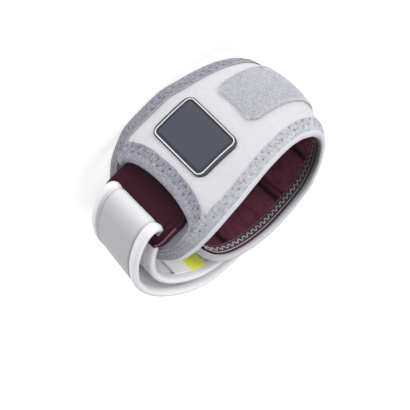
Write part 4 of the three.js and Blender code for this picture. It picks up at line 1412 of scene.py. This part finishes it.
@dataclass
class SlideRing:
    """Padded ring with the slot that the pull strap runs through."""

    band: Band
    finishes: Finishes
    left: float = 0.2
    right: float = 0.1015
    slot: float = 0.1305
    standoff: float = 8.0
    strap_width: float = 40.8
    strap_drop: float = 0.15
    slot_half: float = 3.0
    slot_web: float = 1.7
    top_limb: float = 6.0
    bottom_limb: float = 3.3
    hem: float = 1.6
    left_corner: float = 14.0
    right_corner: float = 7.0
    thickness: float = 3.4
    slim: float = 1.8
    edge_radius: float = 1.5
    groove: float = 2.9
    fold: float = 0.4
    # Turn past which the web gets painted shadow under the arch
    dim_start: float = 0.152
    map_column: int = 30
    thin: float = 0.35
    lip_inset: float = 1.25
    lip_sink: float = 0.12
    lip_radius: float = 0.5

    def cut(self, distance: Array, radius: float) -> Array:
        """Gives how much a rounded corner takes off at a distance from the side."""
        into = np.clip(radius - distance, 0, radius)
        return radius - np.sqrt(radius ** 2 - into ** 2)

    def limb(self, turn: Array, height: float) -> Array:
        """Gives the height of a limb beyond the slot."""
        pace = self.band.speed(turn)
        left = self.cut((self.left - turn) * pace, self.left_corner)
        right = self.cut((turn - self.right) * pace, self.right_corner)
        return np.maximum(height - np.maximum(left, right), self.hem)

    def build(self) -> None:
        """Makes the ring."""
        band = self.band
        half = self.slot_half / float(band.speed(self.slot))
        close = self.slot_web / float(band.speed(self.slot))
        web = np.linspace(self.left, self.slot + close, 65)
        gap = np.linspace(self.slot + close, self.slot - half, 9)[1:-1]
        bar = np.linspace(self.slot - half, self.right, 25)
        turn = np.concatenate([web, gap, bar])
        slot = self.strap_width / 2 + band.gap
        top, bottom = self.limb(turn, self.top_limb), self.limb(turn, self.bottom_limb)
        share = np.concatenate([crowd(12, 0.3)[:-1], np.linspace(1, 2, 53),
                                2 + crowd(16, 0.3)[1:]])
        known = np.stack([-slot - bottom, np.full(turn.shape, -slot), np.full(turn.shape, slot),
                          slot + top], axis=1)
        rows = np.stack([np.interp(share, [0, 1, 2, 3], line) for line in known])
        turns = np.broadcast_to(turn[:, None], rows.shape)
        pace = band.speed(turns)
        above = slot + top[:, None] - rows
        below = rows + slot + bottom[:, None]
        ends = np.minimum((self.left - turns) * pace, (turns - self.right) * pace)
        rim = np.minimum(np.minimum(above, below), ends)
        side = np.maximum((turns - self.slot) * pace - self.slot_web,
                          (self.slot - turns) * pace - self.slot_half)
        over = np.abs(rows) - slot
        to_slot = np.hypot(np.maximum(side, 0), np.maximum(over, 0))
        round_rim = rounded(np.minimum(rim, to_slot + 0.25), self.edge_radius)
        blend = np.clip((turns - self.slot) / (5 * half) - 0.4, 0, 1)
        full = self.thickness + (self.slim - self.thickness) * blend * blend * (3 - 2 * blend)
        thick = self.thin + (full - self.thin) * round_rim
        level = band.middle - self.strap_drop + rows
        middle = self.standoff * smooth_column(RING_PATH, 1, turns)
        base = band.point(turns, level, middle)
        noise = SoftNoise(41)
        from_groove, from_fold = above - self.groove, rows - slot + self.fold
        groove = 0.45 * hill(from_groove, 0.45) + 0.55 * hill(from_fold, 0.55)
        groove = groove + 0.3 * hill(rows - slot - 1.1, 0.3)
        pad = 0.12 * noise.at(base, 7.0) + 0.05 * noise.at(base, 2.2)
        folds = 0.16 * np.sin((turns - self.slot) * pace * 1.15 + 0.8) * (np.abs(rows) < slot)
        front = thick / 2 + (pad + folds - groove) * round_rim
        u = np.broadcast_to(run_length(base[:, self.map_column])[:, None], rows.shape)
        within = (turns < self.slot + close * 0.999) & (turns > self.slot - half * 0.999)
        inside = within & (np.abs(rows) < slot * 0.999)
        cells = inside[:-1, :-1] | inside[1:, 1:] | inside[1:, :-1] | inside[:-1, 1:]
        # Painted shade in the groove and the fold, and a painted shadow on the web under the arch
        shade = 0.7 * hill(from_groove, 0.5) + 0.8 * hill(from_fold, 0.5)
        shade = np.maximum(shade, 0.75 * ramp_up(turns, self.dim_start, 0.03) ** 1.4)
        sheet = Sheet(band.point(turns, level, middle + front),
                      band.point(turns, level, middle - thick / 2), u, rows, shade, ~cells)
        piece = sheet_piece("ring_pad", sheet, self.finishes.get(RING_CLOTH), "plum_padding",
                            "slide_ring")
        self._lip(slot)

    def _lip(self, slot: float) -> None:
        """Makes the raised line along the upper edge, in a paler plum that paints its highlight."""
        band = self.band
        turn = np.linspace(self.slot + 0.02, self.right + 0.006, 90)
        limb = self.limb(turn, self.top_limb)
        level = band.middle - self.strap_drop + slot + limb - self.lip_inset
        out = self.standoff * smooth_column(RING_PATH, 1, turn) + self.thickness / 2 - self.lip_sink
        line = band.point(turn, level, out)
        tube_piece("ring_pad_lip", Tubes(line[None], self.lip_radius, 10),
                   self.finishes.get(RING_LIP_HIGHLIGHT), "plum_padding")


class RouteCurve:
    """Smooth curve through the points of the strap's route, with even weight to each span."""

    def __init__(self, points: Array) -> None:
        """Keeps the points, with one more past each end."""
        before, after = 2 * points[0] - points[1], 2 * points[-1] - points[-2]
        self.points = np.concatenate([[before], points, [after]])
        self.spans = len(points) - 1

    def at(self, share: Array) -> Array:
        """Gives the points at shares of the route."""
        place = np.clip(share, 0, 1) * self.spans
        row = np.minimum(np.floor(place).astype(int), self.spans - 1)
        t = (place - row)[..., None]
        p0, p1, p2, p3 = (self.points[row + k] for k in range(4))
        d0, d1, d2 = (np.linalg.norm(b - a, axis=-1, keepdims=True) ** 0.5
                      for a, b in ((p0, p1), (p1, p2), (p2, p3)))
        start = ((p1 - p0) / d0 - (p2 - p0) / (d0 + d1) + (p2 - p1) / d1) * d1
        stop = ((p2 - p1) / d1 - (p3 - p1) / (d1 + d2) + (p3 - p2) / d2) * d1
        square = -3 * p1 + 3 * p2 - 2 * start - stop
        cube = 2 * p1 - 2 * p2 + start + stop
        return p1 + start * t + square * t * t + cube * t ** 3

    def tangent(self, share: Array) -> Array:
        """Gives the unit direction of the route."""
        step = 1e-4
        way = self.at(np.minimum(share + step, 1)) - self.at(np.maximum(share - step, 0))
        return way / np.linalg.norm(way, axis=-1, keepdims=True)


STRAP_COLUMNS = np.array([
    0.12, 0.24, 0.35, 0.44, 0.52, 0.57, 0.61, 0.635, 0.65, 0.66, 0.67, 0.678, 0.685, 0.692, 0.70,
    0.715, 0.735, 0.76, 0.79, 0.82, 0.85, 0.88, 0.905, 0.93, 0.95, 0.968, 0.98, 0.99, 0.997, 1.0,
])


@dataclass
class PullStrap:
    """White pull strap with its pile, hook closure and ribbon tag."""

    band: Band
    finishes: Finishes
    width: float = 40.8
    thickness: float = 4.0
    seat: float = 3.8
    drop: float = 0.15
    rise: float = 5.0
    lean: float = 3.8
    loop_gap: float = 6.0
    pile_width: float = 30.2
    pile_thickness: float = 0.7
    hook_height: float = 24.0
    tag_top: float = 16.6
    tag_height: float = 12.5
    per_row: int = 9
    # Places across and rows along the strap where shade is painted
    crease: float = 0.685
    slope: float = 0.745
    beside: float = 0.66
    seen_start: float = 15.6
    seen_end: float = 27.0
    seam_rows: tuple[float, float] = (0.32, 2.3)
    stitch: float = 1.4
    stitch_pitch: float = 2.0
    seam_thread: float = 0.16
    pile_end: float = 2.65
    pile_sink: float = 0.1
    pile_lift: float = 0.3
    pile_tangle: float = 0.12
    hook_start: float = 2.2
    hook_end: float = 0.25
    hook_thickness: float = 1.8
    hook_tangle: float = 0.08
    tag_rows: tuple[float, float, float] = (3.45, 4.55, 5.9)
    tag_seat: float = 0.25
    tag_front: float = 0.45
    tag_back: float = 0.1

    def __post_init__(self) -> None:
        """Lays the route."""
        centre = self.band.middle - self.drop

        def layer(rows: Sequence[tuple[float, float, float, float]], seat: float) -> list[Array]:
            """Gives the points of one layer."""
            return [self.band.point(turn, centre + self.rise * rise, seat + self.loop_gap * gap)
                    for turn, gap, rise, _ in rows]

        fold = [self.band.point(turn, centre, self.seat * out) for turn, out in FOLD_ROUTE]
        points = layer(INNER_ROUTE, self.seat) + fold
        points += layer(OUTER_ROUTE, self.seat + self.thickness)
        leans = [row[3] for row in INNER_ROUTE] + [0.0] * len(FOLD_ROUTE)
        self.leans = np.array(leans + [row[3] for row in OUTER_ROUTE]) * self.lean
        self.curve = RouteCurve(np.array(points))
        self.rows = len(points) - 1

    def place(self, share: Array, across: Array, off: Array) -> Array:
        """Places points by share of the route, place across and distance off the centre."""
        point, along = self.curve.at(share), self.curve.tangent(share)
        left = np.stack([-along[..., 1], along[..., 0], 0 * along[..., 0]], axis=-1)
        left /= np.linalg.norm(left, axis=-1, keepdims=True)
        lean = np.interp(share * self.rows, np.arange(self.rows + 1), self.leans)
        tilt = -lean * across / self.width
        up = np.stack([0 * across, 0 * across, across], axis=-1)
        return point + left * (off + tilt)[..., None] + up

    def build(self) -> None:
        """Makes the strap and what is on it."""
        share = np.linspace(0, 1, self.rows * self.per_row + 1)
        side = np.concatenate([-STRAP_COLUMNS[::-1], [0.0], STRAP_COLUMNS])
        shares, place = grid(share, side)
        across = place * self.width / 2
        lined = smooth_column(STRAP_SECTION, 1, np.abs(place)) * self.thickness
        smooth = smooth_column(STRAP_SECTION, 2, np.abs(place)) * self.thickness
        base = self.place(shares, across, 0 * across)
        noise = SoftNoise(51)
        wave = 0.16 * noise.at(base, 13.0) + 0.05 * noise.at(base, 5.0)
        wave = wave * (1 - np.abs(place) ** 6)
        # Painted shade: a dark line at each crease, the flat part slightly darker throughout and
        # more on the rows seen_start to seen_end where it turns from the light, the inner slope of
        # one bead and the flat beside the other
        row = shares * self.rows
        seen = ramp_up(row, self.seen_start, 2.8) * ramp_down(row, self.seen_end, 3)
        crease = hill((np.abs(place) - self.crease) * self.width / 2, 0.28)
        flat = (0.1 + 0.46 * seen) * ramp_down(np.abs(place), self.crease, 0.03)
        slope = 0.55 * hill((place + self.slope) * self.width / 2, 0.9) * seen
        beside = (0.25 + 0.4 * seen) * hill((place - self.beside) * self.width / 2, 0.8)
        shade = np.maximum.reduce([(0.5 + 0.4 * seen) * crease, flat, slope, beside])
        sheet = Sheet(self.place(shares, across, lined),
                      self.place(shares, across, wave - smooth + 0.3 * crease),
                      run_rows(base), across, shade)
        strap = sheet_piece("pull_strap", sheet, self.finishes.get(STRAP_CLOTH), "strap_fabric",
                            "strap")
        self._pile()
        first, second, last = self.tag_rows
        sewn = [self._hook(), self._tip_seam(),
                self._tag("tag_lime", first, second, LIME_RIBBON, "lime_print", "tag_printed"),
                self._tag("tag_white", second, last, WHITE_RIBBON, "strap_fabric", "tag_bare")]
        declare_cloth(strap, sheet)

    def _layer(self, start: float, stop: float, height: float, face: float, thickness: float,
               roughness: float, seed: int) -> Sheet:
        """Gives a layer on the strap's lined face.

        Args:
            start: first row of the route.
            stop: last row of the route.
            height: its height.
            face: distance of its back from the strap's centre.
            thickness: its thickness.
            roughness: how much its face is tangled.
            seed: number for the tangle.

        Returns:
            The sheet.
        """
        share = np.linspace(start, stop, int((stop - start) * 10) + 1) / self.rows
        side = np.linspace(-0.5, 0.5, 49)
        shares, across = grid(share, side * height)
        base = self.place(shares, across, 0 * across)
        length = run_rows(base)
        near = np.minimum(height / 2 - np.abs(across), np.minimum(length, length[-1:, :] - length))
        noise = SoftNoise(seed)
        tangle = roughness * (noise.at(base, 0.9) + 0.6 * noise.at(base, 2.3))
        depth = (thickness + tangle) * (0.15 + 0.85 * rounded(near, 0.8))
        return Sheet(self.place(shares, across, face + depth),
                     self.place(shares, across, face + 0 * depth), length, across)

    def _pile(self) -> None:
        """Makes the grey pile between the strap's beads."""
        face = self.thickness * STRAP_SECTION[0, 1] - self.pile_sink
        sheet = self._layer(0.0, self.rows - self.pile_end, self.pile_width, face,
                            self.pile_thickness + self.pile_lift, self.pile_tangle, 52)
        piece = sheet_piece("strap_lined_face", sheet, self.finishes.get(STRAP_PILE), "grey_loop",
                            "strap_lining")
        declare_cloth(piece, sheet)

    def _hook(self) -> bpy.types.Object:
        """Makes the hook closure at the strap's tip."""
        face = self.thickness * STRAP_SECTION[0, 1]
        sheet = self._layer(self.rows - self.hook_start, self.rows - self.hook_end,
                            self.hook_height, face, self.hook_thickness, self.hook_tangle, 53)
        return sheet_piece("hook_closure", sheet, self.finishes.get(HOOK_CLOTH), "grey_binding",
                           "hook_pad")

    def _tip_seam(self) -> bpy.types.Object:
        """Makes the two stitch lines that hold the hook closure at the strap's tip."""
        half = self.hook_height / 2 + 0.6
        paths = []
        for row in self.seam_rows:
            share = (self.rows - row) / self.rows
            start = np.arange(-half, half - self.stitch, self.stitch_pitch)
            across = start[:, None] + np.linspace(0, self.stitch, 6)
            arc = np.sin(np.linspace(0, np.pi, 6)) ** 0.5
            off = -self.thickness * STRAP_SECTION[0, 2] - 0.22 * arc + 0.1 + 0 * across
            paths.append(self.place(np.full(across.shape, share), across, off))
        return tube_piece("strap_tip_stitches", Tubes(np.concatenate(paths), self.seam_thread, 6),
                          self.finishes.get(PALE_THREAD), "strap_fabric")

    def _tag(self, name: str, start: float, stop: float, finish: Finish, slot: str, node: str,
             ) -> bpy.types.Object:
        """Makes one part of the ribbon tag on the smooth face of the inner layer."""
        share = np.linspace(start, stop, 25) / self.rows
        shares, drop = grid(share, np.linspace(0, self.tag_height, 17))
        across = self.tag_top - drop
        off = -self.thickness / 2 - self.tag_seat
        base = self.place(shares, across, off + 0 * across)
        curl = 0.12 * SoftNoise(54).at(base, 6.0)
        sheet = Sheet(self.place(shares, across, off - self.tag_front - curl),
                      self.place(shares, across, off + self.tag_back - curl), run_rows(base), drop)
        return sheet_piece(name, sheet, self.finishes.get(finish), slot, node)


def rounded_half(share: Array, length: float, height: float, corner: float) -> Array:
    """Gives half the height of a rounded rectangle at shares of its length."""
    into = np.clip(corner - np.minimum(share, 1 - share) * length, 0, corner)
    return height / 2 - corner + np.sqrt(corner ** 2 - into ** 2)


def rectangle_depth(x: Array, y: Array, width: float, height: float, corner: float) -> Array:
    """Gives the distance of points from the outline of a rounded rectangle, inwards."""
    over_x, over_y = np.abs(x) - width / 2 + corner, np.abs(y) - height / 2 + corner
    outside = np.hypot(np.maximum(over_x, 0), np.maximum(over_y, 0))
    return corner - outside - np.minimum(np.maximum(over_x, over_y), 0)


@dataclass
class LoopPatch:
    """Fuzzy patch on the shell, round the left end of the band."""

    band: Band
    finishes: Finishes
    height: float = 30.5
    corner: float = 6.0
    drop: float = 2.6
    start: float = 0.346
    end: float = 0.55
    thickness: float = 1.0
    columns: int = 170
    rows: int = 72
    fibres: int = 6000
    seat: float = 0.15
    sink: float = 0.1
    fibre_radius: float = 0.07
    edge_share: float = 0.4
    end_share: float = 0.12

    def build(self) -> None:
        """Makes the patch."""
        band = self.band
        pace = float(band.speed(self.start))
        length = (self.end - self.start) * pace
        share, row = grid(crowd(self.columns, 0.5), crowd(self.rows, 0.4) * 2 - 1)
        turns = self.start + (self.end - self.start) * share
        level = rounded_half(share, length, self.height, self.corner) * row
        height = band.middle - self.drop + level
        near = rectangle_depth((share - 0.5) * length, level, length, self.height, self.corner)
        base = band.shell(turns, height, 0 * turns)
        noise = SoftNoise(61)
        tangle = (0.16 * noise.at(base, 0.8) + 0.14 * noise.at(base, 2.1)
                  + 0.1 * noise.at(base, 6.0))
        depth = (self.thickness + tangle) * rounded(near + 0.05, 1.1)
        sheet = Sheet(band.shell(turns, height, self.seat + depth),
                      band.shell(turns, height, -self.sink + 0 * depth), run_rows(base), level)
        piece = sheet_piece("pile_patch", sheet, self.finishes.get(PATCH_PILE), "pale_patch",
                            "loop_patch")
        fibres = tube_piece("pile_patch_fibres", self._fibres(length), self.finishes.get(FIBRE),
                            "pale_patch")
        declare_cloth(piece, sheet)

    def _fibres(self, length: float) -> Tubes:
        """Strews short curled fibres over the patch, more of them at its edge.

        Args:
            length: the patch's length.

        Returns:
            The tubes of the fibres.
        """
        band = self.band
        draw = np.random.default_rng(62)
        share, row = draw.random(self.fibres), draw.random(self.fibres) * 2 - 1
        edge = draw.random(self.fibres) < self.edge_share
        row = np.where(edge, np.sign(row) * (1 - 0.06 * np.abs(row)), row)
        tip = draw.random(self.fibres) < self.end_share
        share = np.where(tip, np.where(share < 0.5, 0.03 * share, 1 - 0.03 * share), share)
        half = rounded_half(share, length, self.height, self.corner)
        start = np.stack([share * length, half * row])
        way = draw.normal(size=(2, self.fibres)) * 0.38
        curl = draw.normal(size=(2, self.fibres)) * 0.3
        rise = 0.25 + 0.45 * draw.random(self.fibres)
        places = np.stack([start, start + way, start + 1.6 * way + curl], axis=-1)
        levels = np.stack([0.5 + 0 * rise, 0.8 + 0.4 * rise, 0.85 + 0.75 * rise], axis=-1)
        out = 0.2 + self.thickness * levels
        turn = self.start + (self.end - self.start) * places[0] / length
        points = band.shell(turn, band.middle - self.drop + places[1], out)
        return Tubes(points, self.fibre_radius, 3)


@dataclass
class Badge:
    """Soft moulded badge on the front, with a raised line round a bare field."""

    band: Band
    finishes: Finishes
    place: float = 0.2698
    width: float = 27.6
    height: float = 42.4
    drop: float = 3.7
    corner: float = 5.0
    thickness: float = 1.2
    side_margin: float = 0.8
    end_margin: float = 1.6
    line: float = 0.6
    line_height: float = 0.4
    groove: float = 1.5
    groove_depth: float = 0.4
    field_height: float = 0.5
    field_drop: float = 0.05
    field_sink: float = 0.5
    least_corner: float = 1.2
    seat: float = 0.15
    sink: float = 0.05
    line_seat: float = 0.1

    def at(self, x: Array, y: Array, out: Array) -> Array:
        """Places points by distance right and up from the badge's middle."""
        turn = self.place - x / self.band.speed(self.place)
        return self.band.shell(turn, self.band.middle - self.drop + y, out)

    def plate(self, side: float, end: float, columns: int, rows: int) -> tuple[Array, Array, Array]:
        """Gives the grid of a rounded plate and its distance from the outline."""
        width, height = self.width - 2 * side, self.height - 2 * end
        corner = max(self.corner - end, self.least_corner)
        share, row = grid(crowd(columns, 0.6), crowd(rows, 0.6) * 2 - 1)
        x = (share - 0.5) * width
        y = rounded_half(share, width, height, corner) * row
        return x, y, rectangle_depth(x, y, width, height, corner)

    def build(self) -> None:
        """Makes the plate, its field and its line."""
        x, y, near = self.plate(0.0, 0.0, 110, 150)
        inner = rectangle_depth(x, y, self.width - 2 * self.side_margin,
                                self.height - 2 * self.end_margin, self.corner - self.end_margin)
        into = inner - self.line - self.groove / 2
        valley = self.groove_depth * hill(into, 0.5)
        face = self.seat + self.thickness * (0.2 + 0.8 * rounded(near, 0.7)) - valley
        # Painted shade in the groove round the field
        shade = 0.8 * hill(into, 0.55)
        sheet = Sheet(self.at(x, y, face), self.at(x, y, -self.sink + 0 * face), x, y, shade)
        sheet_piece("badge_plate", sheet, self.finishes.get(BADGE_RUBBER), "slate_rubber", "badge")
        inset = self.line + self.groove
        x, y, near = self.plate(self.side_margin + inset, self.end_margin + inset, 80, 110)
        top = self.thickness + self.line_seat
        rise = top + (self.field_height - self.field_drop) * rounded(near, 0.6)
        sheet = Sheet(self.at(x, y, rise), self.at(x, y, top - self.field_sink + 0 * rise), x, y)
        sheet_piece("badge_face", sheet, self.finishes.get(FIELD_RUBBER), "slate_rubber",
                    "badge_field")
        self._line(top)

    def _line(self, top: float) -> None:
        """Makes the raised line as a closed band round the field."""
        half_x = self.width / 2 - self.side_margin - self.line / 2
        half_y = self.height / 2 - self.end_margin - self.line / 2
        corner = self.corner - self.end_margin - self.line / 2
        path = []
        for quarter, (sx, sy) in enumerate(((1, 1), (-1, 1), (-1, -1), (1, -1))):
            angle = np.linspace(0, np.pi / 2, 13) + quarter * np.pi / 2
            path.append(np.stack([sx * (half_x - corner) + corner * np.cos(angle),
                                  sy * (half_y - corner) + corner * np.sin(angle)], axis=1))
        path = np.concatenate(path)
        path = np.concatenate([path, path[:1]])
        length = run_length(np.column_stack([path, np.zeros(len(path))]))
        even = np.linspace(0, length[-1], 241)[:-1]
        x, y = np.interp(even, length, path[:, 0]), np.interp(even, length, path[:, 1])
        way = np.stack([np.roll(x, -1) - np.roll(x, 1), np.roll(y, -1) - np.roll(y, 1)], axis=1)
        way /= np.linalg.norm(way, axis=1, keepdims=True)
        section = ((-0.5, -0.3), (-0.5, 0.15), (-0.4, 0.75), (-0.2, 1.0), (0.2, 1.0), (0.4, 0.75),
                   (0.5, 0.15), (0.5, -0.3))
        rings = [self.at(x + way[:, 1] * side * self.line, y - way[:, 0] * side * self.line,
                         top + up * self.line_height) for side, up in section]
        points = np.stack(rings, axis=1)
        number = np.arange(points.shape[0] * points.shape[1]).reshape(points.shape[:2])
        turned, after = np.roll(number, -1, axis=1), np.roll(number, -1, axis=0)
        both = np.roll(turned, -1, axis=0)
        faces = np.stack([number, turned, both, after], -1).reshape(-1, 4).tolist()
        u, v = grid(even, np.arange(len(section)) * 0.3)
        piece = make_piece("badge_edge_line", points.reshape(-1, 3), faces, map_rows(u, v),
                           self.finishes.get(LINE_RUBBER))
        dress(piece, "white_ink", "badge_line")


@dataclass(frozen=True)
class Lamp:
    """A soft rectangular lamp that looks at the strap."""

    name: str
    place: tuple[float, float, float]
    size: float
    power: float
    target: tuple[float, float, float] = (0.0, 0.0, 0.04)

    def build(self) -> None:
        """Makes the lamp."""
        data = bpy.data.lights.new(self.name, "AREA")
        data.shape = "SQUARE"
        data.size = self.size
        data.energy = self.power
        lamp = bpy.data.objects.new(self.name, data)
        lamp.location = self.place
        away = Vector(self.target) - Vector(self.place)
        lamp.rotation_euler = away.to_track_quat("-Z", "Y").to_euler()
        bpy.context.scene.collection.objects.link(lamp)


@dataclass
class Studio:
    """Plain pale floor, soft lamps and the camera."""

    elevation: float = 31.0
    roll_up: tuple[float, float] = (-1.0, -1.0)
    distance: float = 2.0
    frame_width: float = 0.2103
    aim: tuple[float, float, float] = (0.0105, -0.0007, 0.0503)
    floor_size: float = 6.0
    floor_grey: float = 0.7
    floor_roughness: float = 0.6
    floor_glow: float = 0.55
    sky_strength: float = 0.33
    lamps: tuple[Lamp, ...] = (
        Lamp("key", (-1.3, -0.7, 0.78), 0.9, 11.8),
        Lamp("front", (-0.1, -1.35, 0.9), 0.6, 6.4),
        Lamp("top", (0.1, 0.35, 1.4), 1.0, 8.0),
    )

    def camera(self) -> None:
        """Makes the camera, rolled as the photograph is."""
        tilt = math.radians(self.elevation)
        right, up = Vector((1, 0, 0)), Vector((0, math.sin(tilt), math.cos(tilt)))
        back = right.cross(up)
        screen_up = (right * self.roll_up[0] + up * self.roll_up[1]).normalized()
        screen_right = screen_up.cross(back)
        data = bpy.data.cameras.new("camera")
        data.sensor_width = 36.0
        data.lens = data.sensor_width * self.distance / self.frame_width
        data.clip_start, data.clip_end = 0.05, 50.0
        data.dof.use_dof = False
        camera = bpy.data.objects.new("camera", data)
        turn = Matrix((screen_right, screen_up, back)).transposed()
        place = Matrix.Translation(Vector(self.aim) + back * self.distance)
        camera.matrix_world = place @ turn.to_4x4()
        bpy.context.scene.collection.objects.link(camera)
        bpy.context.scene.camera = camera

    def floor(self) -> None:
        """Makes the floor."""
        half = self.floor_size / 2
        mesh = bpy.data.meshes.new("floor")
        corners = [(-half, -half, 0), (half, -half, 0), (half, half, 0), (-half, half, 0)]
        mesh.from_pydata(corners, [], [(0, 1, 2, 3)])
        material = bpy.data.materials.new("floor_card")
        material.use_nodes = True
        shader = material.node_tree.nodes["Principled BSDF"]
        shader.inputs["Base Color"].default_value = (*[self.floor_grey] * 3, 1)
        shader.inputs["Roughness"].default_value = self.floor_roughness
        shader.inputs["Emission Color"].default_value = (1, 1, 1, 1)
        shader.inputs["Emission Strength"].default_value = self.floor_glow
        mesh.materials.append(material)
        floor = bpy.data.objects.new("floor", mesh)
        bpy.context.scene.collection.objects.link(floor)

    def light(self) -> None:
        """Makes the lamps and the pale surroundings."""
        for lamp in self.lamps:
            lamp.build()
        world = bpy.data.worlds.new("surroundings")
        world.use_nodes = True
        sky = world.node_tree.nodes["Background"]
        sky.inputs["Color"].default_value = (1.0, 1.0, 1.0, 1)
        sky.inputs["Strength"].default_value = self.sky_strength
        bpy.context.scene.world = world
        bpy.context.scene.view_settings.view_transform = "Standard"
        bpy.context.scene.view_settings.look = "None"

    def build(self) -> None:
        """Makes the studio."""
        self.camera()
        self.floor()
        self.light()


TOP_PROFILE = np.array([
    (1.1, 0.30), (1.8, 0.55), (2.6, 0.60), (3.4, 0.62), (4.3, 0.95), (5.4, 1.05), (6.7, 1.05),
    (7.4, 1.0), (7.9, 0.7),
])
BOTTOM_PROFILE = np.array([
    (1.0, 0.30), (1.6, 0.5), (2.3, 0.6), (3.0, 0.8), (4.0, 1.0), (5.6, 1.05), (7.2, 1.0),
    (8.2, 0.7),
])


def build_strap(finishes: Finishes) -> None:
    """Builds every piece of the strap, from the band outwards.

    Args:
        finishes: the materials.
    """
    band = Band()
    arch = Arch(band)
    Lining(band, finishes).build()
    shell, cut = Shell(band, arch, finishes).build()
    Rim(band, finishes, Side.TOP, "upper_rim", "top_bead", "white_fabric", RIM_CLOTH).build()
    Rim(band, finishes, Side.BOTTOM, "lower_rim", "bottom_bead", "grey_binding",
        BINDING_CLOTH).build()
    edges = RimBinding(band, finishes, Side.TOP, "upper_edge", "top_binding", 4.4, TOP_PROFILE,
                       ZigzagSeam(4.9, 4.3, 6.7), PALE_BINDING, PALE_THREAD).build()
    edges += RimBinding(band, finishes, Side.BOTTOM, "lower_edge", "bottom_binding", 5.3,
                        BOTTOM_PROFILE, ZigzagSeam(4.4, 3.9, 6.4), fold_cloth=SOFT_EDGE, top=1.0,
                        edge=0.14).build()
    edges += ArchBinding(band, arch, finishes).build()
    edges += InnerTape(band, finishes, Side.TOP, "upper_tape", "top_tape").build()
    edges += InnerTape(band, finishes, Side.BOTTOM, "lower_tape", "bottom_tape").build()
    declare_cloth(shell, cut)
    SlideRing(band, finishes).build()
    PullStrap(band, finishes).build()
    LoopPatch(band, finishes).build()
    Badge(band, finishes).build()


def main() -> None:
    """Loads the frame and builds the scene round it."""
    logging.basicConfig(level=logging.INFO, format="%(name)s: %(message)s")
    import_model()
    Studio().build()
    build_strap(Finishes())
    bpy.context.view_layer.update()


if __name__ == "__main__":
    main()
